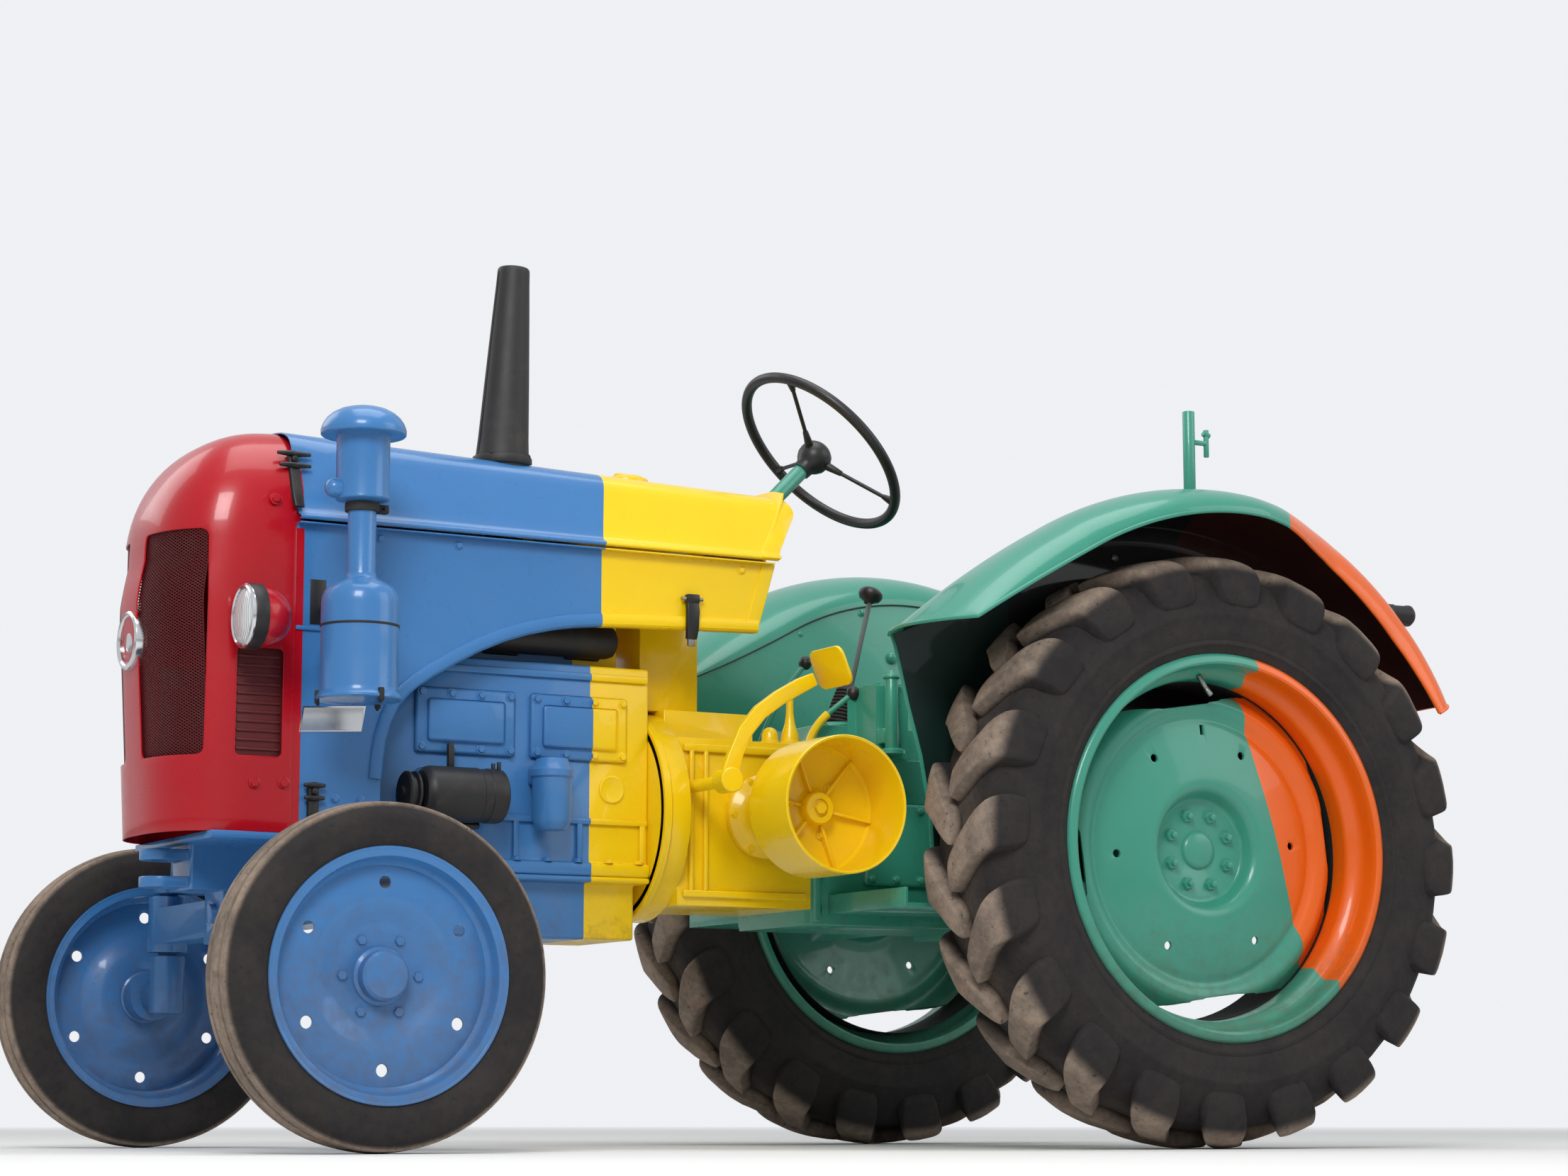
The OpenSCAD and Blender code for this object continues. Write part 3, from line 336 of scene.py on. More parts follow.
def mirrored(piece):
    """The same piece on the tractor's other side."""
    twin = copied(piece)
    twin.scale = (1, -1, 1)
    bpy.ops.object.transform_apply(location=True, rotation=True, scale=True)
    bpy.ops.object.mode_set(mode="EDIT")
    bpy.ops.mesh.select_all(action="SELECT")
    bpy.ops.mesh.flip_normals()
    edited()
    return twin


def slab(name, low, high, edge=2.0, segments=2, side=1):
    """A block between two corners with rounded edges. Side -1 sets it on the tractor's right."""
    near, far = sorted((side * low[1], side * high[1]))
    low = (low[0], near, low[2])
    high = (high[0], far, high[2])
    bpy.ops.object.select_all(action="DESELECT")
    bpy.ops.mesh.primitive_cube_add(size=1)
    piece = bpy.context.object
    piece.name = name
    piece.scale = Vector(high) / 1000 - Vector(low) / 1000
    piece.location = (at(*low) + at(*high)) / 2
    bpy.ops.object.transform_apply(location=True, rotation=True, scale=True)
    editing(piece)
    bpy.ops.mesh.bevel(offset=edge / 1000, segments=segments, affect="EDGES")
    edited()
    return piece


def facing(where, toward):
    """The place of a piece whose Z axis points along a direction."""
    turn = Vector((0, 0, 1)).rotation_difference(Vector(toward)).to_matrix().to_4x4()
    return Matrix.Translation(where) @ turn


def rod(name, start, end, radius, tip=None, sides=20, edge=0.0):
    """A round bar, or a taper, between two points of the shared frame."""
    span = end - start
    bpy.ops.object.select_all(action="DESELECT")
    bpy.ops.mesh.primitive_cone_add(vertices=sides, radius1=radius / 1000,
                                    radius2=(radius if tip is None else tip) / 1000, depth=span.length)
    piece = bpy.context.object
    piece.name = name
    moved(piece, facing((start + end) / 2, span))
    if edge:
        rounded(piece, edge, 2, 50)
    return piece


def pipe(name, points, radius, sides=10, smooth=8):
    """A bent tube along points of the shared frame."""
    bpy.ops.object.select_all(action="DESELECT")
    bpy.ops.curve.primitive_nurbs_path_add()
    piece = bpy.context.object
    piece.name = name
    line = piece.data
    line.splines.clear()
    spline = line.splines.new("NURBS")
    spline.points.add(len(points) - 1)
    for knot, point in zip(spline.points, points):
        knot.co = (*point, 1)
    spline.order_u = min(4, len(points))
    spline.use_endpoint_u = True
    spline.resolution_u = smooth
    line.bevel_depth = radius / 1000
    line.bevel_resolution = max(1, sides // 4)
    line.use_fill_caps = True
    bpy.ops.object.convert(target="MESH")
    return put(bpy.context.object)


def hex_bolt(name, where, toward, across=13, height=6, washer=True):
    """A hexagonal head on its washer, facing along a direction."""
    corner = across / math.sqrt(3)
    parts = [lathe(name, [(0, 0), (corner, 0), (corner, height * 0.8), (across * 0.5, height), (0, height)],
                   steps=6)]
    if washer:
        out = across * 0.78
        parts.append(lathe(name, [(0, -0.5), (out, -0.5), (out, 1.2), (across * 0.7, 1.6), (0, 1.6)],
                           steps=20))
    return moved(joined(name, parts), facing(where, toward))


def bolts(name, places, toward, across=13, height=6):
    return joined(name, [hex_bolt(name, place, toward, across, height) for place in places])


def smooth(piece, turn=35):
    alone(piece)
    bpy.ops.object.shade_smooth_by_angle(angle=math.radians(turn))
    return piece


def done(piece, name, body, finish, stands_for=(), turn=35):
    """Finishes a piece or a list of parts: name, smoothing, material, body and what it stands for."""
    if isinstance(piece, list):
        piece = joined(name, piece)
    piece.name = name
    piece.data.name = name
    smooth(piece, turn)
    piece.data.materials.clear()
    piece.data.materials.append(finish)
    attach(piece, body)
    if stands_for:
        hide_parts(*stands_for)
    return piece


def softened(node, width=3.0, segments=2, turn=34):
    """A copy of a frame piece with its sharp edges rounded."""
    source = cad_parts[node]
    alone(source)
    bpy.ops.object.duplicate()
    piece = bpy.context.object
    piece.parent = None
    for key in list(piece.keys()):
        del piece[key]
    editing(piece)
    bpy.ops.mesh.remove_doubles(threshold=0.00001)
    bpy.ops.mesh.dissolve_limited(angle_limit=math.radians(1.5))
    edited()
    return rounded(piece, width, segments, turn)


# Shader tools


def paint(red, green, blue):
    """A colour as seen on a screen, 0 to 255, as the linear one that a shader needs."""
    def linear(value):
        value /= 255
        return value / 12.92 if value <= 0.04045 else ((value + 0.055) / 1.055) ** 2.4
    return (linear(red), linear(green), linear(blue), 1.0)


class Value:
    """A node's output that takes part in sums, so that shader maths reads as arithmetic."""

    def __init__(self, graph, socket):
        self.graph = graph
        self.socket = socket

    def sum(self, operation, first, second=0.0):
        return self.graph.node("Math", {"operation": operation}, {0: first, 1: second})

    def __add__(self, other):
        return self.sum("ADD", self, other)

    __radd__ = __add__

    def __sub__(self, other):
        return self.sum("SUBTRACT", self, other)

    def __rsub__(self, other):
        return self.sum("SUBTRACT", other, self)

    def __mul__(self, other):
        return self.sum("MULTIPLY", self, other)

    __rmul__ = __mul__

    def __lt__(self, other):
        return self.sum("LESS_THAN", self, other)

    def larger(self, other):
        return self.sum("MAXIMUM", self, other)


class Graph:
    """A node tree, with one method that makes any node."""

    def __init__(self, owner, output):
        owner.use_nodes = True
        self.tree = owner.node_tree
        self.tree.nodes.clear()
        self.end = self.tree.nodes.new("ShaderNode" + output).inputs[0]

    def node(self, kind, settings=None, inputs=None, output=0):
        made = self.tree.nodes.new("ShaderNode" + kind)
        settings = dict(settings or {})
        stops = settings.pop("stops", None)
        for key, value in settings.items():
            setattr(made, key, value)
        if stops:
            ramp = made.color_ramp
            while len(ramp.elements) < len(stops):
                ramp.elements.new(0.5)
            for element, (place, colour) in zip(ramp.elements, stops):
                element.position = place
                element.color = colour
        for key, value in (inputs or {}).items():
            self.feed(made.inputs[key], value)
        return Value(self, made.outputs[output])

    def feed(self, socket, value):
        if isinstance(value, Value):
            self.tree.links.new(value.socket, socket)
        else:
            socket.default_value = value


class Finish(Graph):
    """A material on Object coordinates."""

    def __init__(self, name, metallic=0.0, roughness=0.5, coat=0.0, coat_roughness=0.06, specular=0.5):
        self.material = bpy.data.materials.new(name)
        super().__init__(self.material, "OutputMaterial")
        constants = {"Metallic": metallic, "Roughness": roughness, "Coat Weight": coat,
                     "Coat Roughness": coat_roughness, "Specular IOR Level": specular}
        surface = self.node("BsdfPrincipled", {}, constants)
        self.feed(self.end, surface)
        self.shader = surface.socket.node
        self.place = self.node("TexCoord", output="Object")
        self.x = self.node("SeparateXYZ", {}, {0: self.place}, "X")
        split = self.x.socket.node
        self.y = Value(self, split.outputs["Y"])
        self.z = Value(self, split.outputs["Z"])

    def mixed(self, first, second, share, mode="MIX"):
        return self.node("Mix", {"data_type": "RGBA", "blend_type": mode}, {0: share, 6: first, 7: second},
                         2)

    def eased(self, value, low, high):
        """0 below low, 1 above high and smooth between."""
        return self.node("MapRange", {"interpolation_type": "SMOOTHSTEP"}, {0: value, 1: low, 2: high})

    def noise(self, scale, detail=3.0, rough=0.55, stretch=(1, 1, 1)):
        vector = self.place
        if stretch != (1, 1, 1):
            vector = self.node("Mapping", {}, {"Vector": self.place, "Scale": stretch})
        return self.node("TexNoise", {}, {"Vector": vector, "Scale": scale, "Detail": detail,
                                          "Roughness": rough})

    def relief(self, height, distance, strength=1.0, under=None):
        inputs = {"Strength": strength, "Distance": distance, "Height": height}
        if under is not None:
            inputs["Normal"] = under
        return self.node("Bump", {}, inputs)

    def ends(self, **sockets):
        names = {"colour": "Base Color", "roughness": "Roughness", "metallic": "Metallic",
                 "normal": "Normal", "coat": "Coat Weight", "alpha": "Alpha"}
        for key, value in sockets.items():
            self.feed(self.shader.inputs[names[key]], value)
        return self.material


RED = paint(180, 4, 24)
BLUE = paint(62, 122, 182)
YELLOW = paint(250, 208, 10)
GREEN = paint(62, 150, 128)
ORANGE = paint(240, 102, 14)
BLACK = paint(24, 24, 26)
DUST = paint(150, 132, 108)
SOIL = paint(92, 74, 58)


def enamel(name, blocks, dirt=0.5, gloss=0.22, cast=0.0, lean=(0.0, 0.0)):
    """Glossy enamel in blocks of colour along X: the first colour, then (edge in mm, colour) to the rear.

    An edge leans with the distance from the tractor's middle plane and with the height.
    """
    f = Finish(name, coat=0.2, coat_roughness=0.06, specular=0.34)
    base = blocks[0]
    reach = f.x
    if lean[0]:
        reach = reach + f.node("Math", {"operation": "ABSOLUTE"}, {0: f.y}) * lean[0]
    if lean[1]:
        reach = reach + f.z * lean[1]
    for edge, colour in blocks[1:]:
        base = f.mixed(base, colour, reach < AXLE_X + edge / 1000)
    cloud = f.noise(2.6, 3, 0.6)
    shade = f.node("ValToRGB", {"stops": [(0.25, (0.84, 0.84, 0.84, 1)), (0.75, (1, 1, 1, 1))]}, {0: cloud})
    base = f.mixed(base, shade, 0.75, "MULTIPLY")
    fine = f.noise(38, 4, 0.7)
    # Old soil low down, dust in patches, and small chips that show dark primer
    low = 1 - f.eased(f.z, 0.2, 0.8)
    soil = f.eased(fine * 0.6 + low * 0.5, 0.58, 1.0) * dirt
    base = f.mixed(base, SOIL, soil)
    dust = f.eased(f.noise(5, 5, 0.65), 0.5, 0.85) * 0.16 * dirt
    base = f.mixed(base, DUST, dust)
    chips = f.eased(f.noise(140, 2, 0.5) * f.eased(cloud, 0.44, 0.66), 0.70, 0.74) * 0.7 * dirt
    base = f.mixed(base, paint(52, 44, 40), chips)
    rough = gloss + fine * 0.14 + soil * 0.5 + dust * 0.8 + chips * 0.3
    peel = f.relief(f.noise(260, 2, 0.5), 0.0004, 0.10)
    dents = f.relief(f.noise(4.5, 2, 0.4), 0.006, 0.14, peel)
    if cast:
        dents = f.relief(f.noise(150, 5, 0.7), 0.0012, cast, dents)
    return f.ends(colour=base, roughness=rough, normal=dents, coat=0.3 - soil * 0.3)


def rubber(name, hub, low, high):
    """Old tyre rubber: dark on the wall and between the lugs, partly unworn rubber and partly painted shade,
    dusty and pale on the tread from low to high off the axle.
    """
    f = Finish(name, roughness=0.85, specular=0.22)
    fine = f.noise(55, 5, 0.7)
    cloud = f.noise(7, 4, 0.6)
    across = f.x - (AXLE_X + hub[0] / 1000)
    up = f.z - hub[1] / 1000
    # Partly painted shade: below the lug tops the casing is kept dark for the shade in the gaps between
    # lugs, as well as being unworn rubber
    worn = f.eased(across * across + up * up, (low / 1000) ** 2, (high / 1000) ** 2)
    dust = f.eased(cloud * 0.55 + fine * 0.45, 0.36, 0.66)
    base = f.mixed(paint(38, 36, 37), paint(70, 64, 60), dust * 0.4)
    base = f.mixed(base, f.mixed(paint(112, 100, 90), paint(158, 140, 124), dust), worn)
    base = f.mixed(base, paint(150, 106, 98), f.eased(f.noise(9, 4, 0.7), 0.55, 0.8) * 0.4 * worn)
    base = f.mixed(base, paint(30, 28, 28), f.eased(f.noise(85, 3, 0.6), 0.62, 0.72) * 0.6)
    grain = f.relief(f.noise(190, 4, 0.7), 0.0012, 0.45)
    scuffs = f.relief(f.noise(26, 4, 0.65), 0.004, 0.4, grain)
    return f.ends(colour=base, roughness=0.72 + fine * 0.22, normal=scuffs)


def metal(name, colour, roughness, stain=0.3, grain=0.1):
    """Bare or plated metal with faint stains and brush marks."""
    f = Finish(name, metallic=1.0, roughness=roughness)
    fine = f.noise(60, 4, 0.6)
    spots = f.eased(f.noise(22, 5, 0.7), 0.55, 0.8) * stain
    base = f.mixed(colour, paint(96, 76, 60), spots)
    marks = f.relief(f.noise(320, 2, 0.5), 0.0005, grain)
    return f.ends(colour=base, roughness=roughness + fine * 0.12 + spots * 0.5, normal=marks,
                  metallic=1 - spots * 0.7)


def satin(name, colour, roughness=0.45, warm=0.0, bump=0.25):
    """Black paint, rubber or plastic with dust and a fine grain."""
    f = Finish(name, roughness=roughness, specular=0.45)
    cloud = f.noise(12, 4, 0.65)
    base = f.mixed(colour, paint(86, 80, 74), f.eased(cloud, 0.5, 0.85) * 0.35)
    if warm:
        base = f.mixed(base, paint(112, 66, 40), f.eased(f.noise(30, 5, 0.7), 0.56, 0.8) * warm)
    grain = f.relief(f.noise(240, 3, 0.6), 0.0006, bump)
    return f.ends(colour=base, roughness=roughness + cloud * 0.2, normal=grain)


def lens(name):
    """Pressed lamp glass, pale and fluted, over a bright bowl."""
    f = Finish(name, roughness=0.12, coat=0.9, coat_roughness=0.03)
    flutes = f.node("TexWave", {"wave_type": "BANDS", "bands_direction": "Y"},
                    {"Vector": f.place, "Scale": 42.0, "Distortion": 0.0})
    base = f.mixed(paint(196, 202, 204), paint(232, 236, 236), flutes)
    base = f.mixed(base, paint(120, 124, 126), f.eased(f.noise(16, 3, 0.5), 0.55, 0.8) * 0.5)
    return f.ends(colour=base, normal=f.relief(flutes, 0.0015, 0.6), roughness=0.1 + f.noise(40, 3) * 0.12)


body_paint = enamel("body_enamel", [BLUE, (1318, YELLOW)], dirt=0.3, lean=(0.0, 0.19))
panel_paint = enamel("panel_enamel", [BLUE, (1098, YELLOW)], dirt=0.4)
casting_paint = enamel("casting_enamel", [BLUE, (1088, YELLOW), (590, GREEN)], dirt=0.9, gloss=0.34,
                       cast=0.5)
fender_paint = enamel("fender_enamel", [GREEN, (-654, ORANGE)], dirt=0.35, lean=(-0.67, 0.0))
# Painted shade for the wheel's side of the fenders: shaded green, near black and shaded orange in blocks
# along X, with soil over it
shade_liner_paint = enamel("painted_shade_liner_enamel", [paint(14, 40, 35), (330, paint(17, 20, 20)),
                                      (-80, paint(56, 20, 14))], dirt=0.5, gloss=0.5, cast=0.3)
rim_paint = enamel("rim_enamel", [GREEN, (-348.8, ORANGE)], dirt=0.5, gloss=0.26, lean=(0.0, -0.2956))
column_paint = enamel("column_enamel", [YELLOW, (612, GREEN)], dirt=0.3)
green_paint = enamel("green_enamel", [GREEN], dirt=0.6)
blue_paint = enamel("blue_enamel", [BLUE], dirt=0.5)
yellow_paint = enamel("yellow_enamel", [YELLOW], dirt=0.6)
red_paint = enamel("red_enamel", [RED], dirt=0.3)
rear_rubber = rubber("rear_rubber", (0, REAR_R), 538, 562)
front_rubber = rubber("front_rubber", (FRONT_X, FRONT_R), 286, 297)
black_paint = satin("black_enamel", BLACK, 0.38, warm=0.2)
stack_black = satin("heated_black", paint(30, 29, 29), 0.46, warm=0.12, bump=0.5)
# Painted shade for the inside of the rear rims' barrels behind the discs
barrel_painted_shade = satin("barrel_painted_shade", paint(16, 24, 22), 0.7, bump=0.3)
stem_grey = satin("stem_grey", paint(72, 84, 80), 0.36, bump=0.15)
grip_black = satin("grip_black", paint(28, 27, 28), 0.3, bump=0.15)
hose_black = satin("hose_black", paint(30, 30, 30), 0.62, bump=0.4)
mesh_maroon = satin("mesh_maroon", paint(92, 22, 26), 0.45, bump=0.1)
lamp_red = satin("lamp_red", paint(112, 16, 22), 0.2, bump=0.05)
steel = metal("worn_steel", paint(150, 148, 144), 0.36, 0.5, 0.25)
chrome = metal("chrome", paint(214, 216, 218), 0.12, 0.12, 0.05)
lamp_glass = lens("lamp_glass")


# Nose


def nose_plan(share):
    """A point of the nose's plan as (x, y), from 1 at the joint on the left over 0 to -1 on the right."""
    side = math.copysign(1, share)
    share = abs(share)
    if share > 0.8:
        return NOSE_JOINT + (1 - share) / 0.2 * (NOSE_STRAIGHT - NOSE_JOINT), side * NOSE_HALF
    turn = (1 - share / 0.8) * math.pi / 2
    x = NOSE_STRAIGHT + NOSE_DEEP * math.sin(turn) ** 0.77
    return x, side * NOSE_HALF * max(math.cos(turn), 0) ** 0.77


def nose_lean(z):
    """How far the front edge stands back at a height."""
    return 22 * (max(0, 1010 - z) / 325) ** 0.9 + 15 * (max(0, z - 980) / 100) ** 1.5


def nose_front_x(y, z, inset=0):
    """How far forward the nose's front stands at a place."""
    reach = (1 - (abs(y) / NOSE_HALF) ** 2.6) ** (1 / 2.6)
    return NOSE_STRAIGHT + NOSE_DEEP * reach - nose_lean(min(z, NOSE_CROWN)) * (0.25 + 0.75 * reach) - inset


def nose_line(share):
    """One line of the nose's skin, from the ridge at the joint down to the lower edge."""
    x, y = nose_plan(share)
    forward = (x - NOSE_JOINT) / (NOSE_STRAIGHT + NOSE_DEEP - NOSE_JOINT)
    power = 2 / (2.9 - 0.7 * forward)
    x -= nose_lean(NOSE_CROWN) * forward
    points = []
    for step in range(20):
        turn = step / 20 * math.pi / 2
        out = math.sin(turn) ** power
        points.append(at(NOSE_JOINT + (x - NOSE_JOINT) * out, y * out, NOSE_CROWN +
                         NOSE_RISE * math.cos(turn) ** power))
    x += nose_lean(NOSE_CROWN) * forward
    for step in range(21):
        z = NOSE_CROWN - step / 20 * (NOSE_CROWN - NOSE_LOW)
        points.append(at(x - nose_lean(z) * forward, y, z))
    return points


def make_nose():
    lines = [nose_line(1 - step / 32) for step in range(65)]
    shell = skin("nose", lines)
    editing(shell)
    bpy.ops.mesh.remove_doubles(threshold=0.00005)
    face_outwards()
    edited()
    walled(shell, 3)
    for side in (1, -1):
        cut(shell, slab("window", (1889, 44, 712), (2010, 230, 1128), 13, 4, side))
        cut(shell, slab("vent", (1748, 150, 712), (1836, 260, 910), 8, 3, side))
    rounded(shell, 1.2, 2, 40)
    spots = ((1799, 662), (1743, 664), (1770, 1190))
    screws = [bolts("screws", [at(x, side * (NOSE_HALF + 0.5), z) for x, z in spots], (0, side, 0), 15, 6)
              for side in (1, -1)]
    # A strip inside the back edge closes the joint to the hood
    edge = nose_line(-1)[::-1] + nose_line(1)[1:]
    inner = [Vector((point.x, point.y * 0.984, point.z - 0.0035)) for point in edge]
    strip = skin("joint", [[point + mm(back, 0, 0) for point in inner] for back in (4, -16)])
    done([shell] + screws + [walled(strip, 1.2, 0)], "nose_skin", "chassis", red_paint,
         ["nose_shell"], 40)


def make_mesh():
    """Expanded metal behind the two openings, as diamonds of wire, and ribbed plates in the side vents."""
    panels = []
    for side in (1, -1):
        rows = []
        for count in range(78):
            z = 704 + 5.6 * count
            row = []
            for step in range(19):
                y = 38 + step * 8.9 - max(0, step - 12) ** 2 * 0.35
                row.append(at(nose_front_x(y, z, 8), side * y, z))
            rows.append(row)
        panel = skin("mesh", rows)
        editing(panel)
        picked(panel, lambda edge: True, "EDGE")
        lines = {edge.index for edge in bmesh.from_edit_mesh(panel.data).edges}
        bpy.ops.mesh.select_all(action="SELECT")
        bpy.ops.mesh.poke()
        picked(panel, lambda edge: edge.index in lines and not edge.is_boundary, "EDGE")
        bpy.ops.mesh.dissolve_edges(use_verts=False)
        edited()
        modified(panel, "WIREFRAME", thickness=0.0019, use_replace=True, use_even_offset=True)
        panels.append(panel)
        panels.append(slab("plate", (1742, NOSE_HALF - 14, 704), (1842, NOSE_HALF - 9, 918), 1, 2, side))
        for z in range(722, 893, 17):
            panels.append(slab("rib", (1750, NOSE_HALF - 10, z), (1834, NOSE_HALF - 5, z + 5), 1.2, 2, side))
    done(panels, "nose_mesh", "chassis", mesh_maroon, ["nose_grille"], 50)


def make_badge():
    front = nose_front_x(0, BADGE_Z)
    ring = lathe("ring", [(44, -16), (44, 2), (47, 5.5), (51, 6.5), (55, 4), (56, 0), (56, -16), (44, -16)],
                 at(front, 0, BADGE_Z), TO_X, 72)
    boss = lathe("boss", [(0, 2), (14, 1), (24, -2), (33, -6), (40, -7), (45, -6), (45, -12), (0, -12)],
                 at(front, 0, BADGE_Z), TO_X, 72)
    done([ring, boss], "ring_badge", "chassis", chrome, ["nose_ring"], 30)


def make_headlamps():
    x, y, z = LAMP
    bowls = []
    drums = []
    glasses = []
    rims = []
    for side in (1, -1):
        where = at(x, side * y, z)
        bowls.append(lathe("bowl", [(0, -88), (14, -86.5), (28, -81), (40, -72), (49, -60), (55, -46),
                                    (58, -33), (58.5, -27), (50, -27), (0, -30)], where, TO_X, 56))
        bowls.append(slab("arm", (x - 62, 203, z - 13), (x - 34, 250, z + 13), 5, 2, side))
        bowls.append(lathe("foot", [(0, 0), (27, 0), (27, 2.5), (22, 5), (19, 9), (0, 9)],
                           at(x - 48, side * 206, z), OUTWARDS[side], 32))
        drums.append(lathe("drum", [(54, -28), (59.5, -28), (60.5, -26), (60.5, -5), (59.5, -2.5), (52, -1),
                                    (48, -8), (0, -9), (0, -28), (54, -28)], where, TO_X, 56))
        rims.append(lathe("rim", [(51, -2), (56, -6), (59, -4), (59.2, 0), (57, 3.4), (53, 4.8), (50, 2.5),
                                  (51, -2)], where, TO_X, 56))
        glasses.append(lathe("glass", [(0, 8), (20, 7.4), (36, 5.2), (46, 2.4), (51, 0), (51, -3), (0, -3)],
                             where, TO_X, 56))
    done(bowls, "lamp_bowls", "chassis", red_paint, ["headlamps"])
    done(drums, "lamp_drums", "chassis", black_paint)
    done(rims, "lamp_rims", "chassis", chrome)
    done(glasses, "lamp_lenses", "chassis", lamp_glass, ["headlamp_glass"])


# Hood

# Half of the hood's section, as (y, z), from the ridge down to the ledge
HOOD_LINE = [(0, 1327), (40, 1326.2), (78, 1323.6), (108, 1319.5), (130, 1314), (146, 1306.5), (157, 1297),
             (164.5, 1286), (170, 1272), (178, 1248), (188, 1219), (198, 1190), (205, 1171), (210, 1163),
             (217, 1158.5), (224, 1156.5), (227.5, 1153.5), (228, 1150), (225, 1147.5), (219, 1147.5)]


def hood_rise(x, z):
    """How much the hood's sheet climbs toward the nose at a place: most at the top, little at the ledge."""
    share = min(max((z - 1160) / 130, 0), 1)
    return 7 * (1 - share) + 0.0306 * (x - 1180) * share


def climbed(piece):
    """Lets a piece of the hood climb with its sheet."""
    editing(piece)
    mesh = bmesh.from_edit_mesh(piece.data)
    for vertex in mesh.verts:
        vertex.co.z += hood_rise((vertex.co.x - AXLE_X) * 1000, vertex.co.z * 1000) / 1000
    bmesh.update_edit_mesh(piece.data)
    edited()
    return piece


def both_sides(line):
    return [(-y, z) for y, z in reversed(line[1:])] + list(line)


def hood_band(name, line, back, front):
    """A strip of the hood's section, with both ends on the lean of the hood's back edge or upright."""
    piece = drawn(name, [at(560, y, z) for y, z in both_sides(line)])
    editing(piece)
    for length in [0.045] * 4 + [0.1] * 10 + [0.13]:
        bpy.ops.mesh.extrude_region_move(TRANSFORM_OT_translate={"value": (length, 0, 0)})
    normal = Vector((HOOD_TOP - LEDGE_Z, 0, HOOD_LEAN)).normalized()
    bpy.ops.mesh.select_all(action="SELECT")
    bpy.ops.mesh.remove_doubles(threshold=0.00001)
    sliced(at(back, 0, HOOD_TOP), normal, clear_inner=True)
    # The top rolls over into the back edge, round a circle that touches both
    roll = 45
    middle = at(back + 1.627 * roll, 0, HOOD_TOP - roll)
    for turn in (-16, -38, -60, -82, -104):
        sliced(round_axle(middle, roll, turn), -radial(turn), clear_inner=True)
    if front is None:
        sliced(at(NOSE_JOINT - 1.5, 0, HOOD_TOP), (1, 0, 0), clear_outer=True)
    else:
        sliced(at(front, 0, HOOD_TOP), normal, clear_outer=True)
    face_outwards()
    edited()
    return climbed(piece)


def make_hood_top():
    shell = walled(hood_band("hood", HOOD_LINE, 624, None), 3)
    cut(shell, lathe("hole", [(0, -60), (40, -60), (40, 40), (0, 40)], at(*STACK, HOOD_TOP), UP, 32))
    cut(shell, lathe("hole", [(0, -60), (30.5, -60), (30.5, 40), (0, 40)], at(CAP_X, 0, HOOD_TOP), UP, 32))
    rounded(shell, 0.9, 2, 50)
    raised = [(y + (2.2 if y > 60 else y / 27), z + (2.0 if y < 175 else 0.6)) for y, z in HOOD_LINE[:-2]]
    band = walled(hood_band("band", raised, 623, 664), 2.2)
    rounded(band, 0.9, 2, 50)
    done([shell, band], "hood_skin", "chassis", body_paint, ["hood_top"], 30)


# The lower edge of the side panels over the engine, as (x, z)
ARCH = [(753, 1012), (900, 1008), (1012, 1004), (1104, 1000), (1150, 995), (1193, 988), (1250, 974),
        (1302, 957), (1352, 935), (1402, 908), (1450, 879), (1478, 860), (1498, 843), (1518, 820),
        (1533, 790), (1543, 756), (1548, 720), (1551, 680)]


def along_edge(name, line, across, side):
    """A band along a line of [x, z] points. Across gives its section as (distance inward, y)."""
    rows = []
    for index, (x, z) in enumerate(line):
        run = run_at(line, index)
        up = Vector((-run.y, run.x))
        rows.append([at(x + up.x * inward, side * y, z + up.y * inward) for inward, y in across])
    return skin(name, rows)


def make_hood_sides():
    y = PANEL_HALF
    for side, hand in ((1, "left"), (-1, "right")):
        outline = ARCH + [(1552, NOSE_LOW), (NOSE_JOINT - 1.5, NOSE_LOW), (NOSE_JOINT - 1.5, LEDGE_Z - 4),
                          (714, LEDGE_Z - 4)]
        panel = drawn("panel", [at(x, side * (y - 3), z) for x, z in outline], closed=True)
        extruded(panel, (0, side * 0.003, 0))
        section = [(-1, y - 20), (-1.5, y - 4), (-0.5, y + 2), (3, y + 5), (9, y + 6), (17, y + 5.5),
                   (22, y + 3), (24, y - 1)]
        rim = along_edge("rim", ARCH, section, side)
        walled(rim, 2, 0)
        ledge = slab("ledge", (722, 203, LEDGE_Z - 4), (NOSE_JOINT - 2, 224, LEDGE_Z - 1), 0.8, 2, side)
        back = along_edge("back", [(714.5, LEDGE_Z - 4), (753.5, 1013)],
                          [(0, y - 16), (0, y), (1.5, y + 2.5), (6, y + 3), (26, y + 2.5), (28, y)], side)
        walled(back, 2, 0)
        spots = ((790, 1132), (1400, 1132), (1560, 1132), (1590, 640), (1640, 640))
        screws = bolts("screws", [at(x, side * y, z) for x, z in spots], (0, side, 0), 11, 5)
        done([panel, rim, ledge, back, screws], "hood_panel_" + hand, "chassis", panel_paint,
             ["hood_side_" + hand], 30)


def rubber_strap(x, stations, thickness):
    """A strap down the sheet on the left, through stations of (height, half width, y)."""
    rows = []
    for z, half, y in stations:
        rows.append(path((x - half, y, z), (x - half + 2, y + 6, z), (x + half - 2, y + 6, z),
                         (x + half, y, z)))
    return rounded(walled(skin("strap", rows), thickness, 0), 1.5, 2, 50)


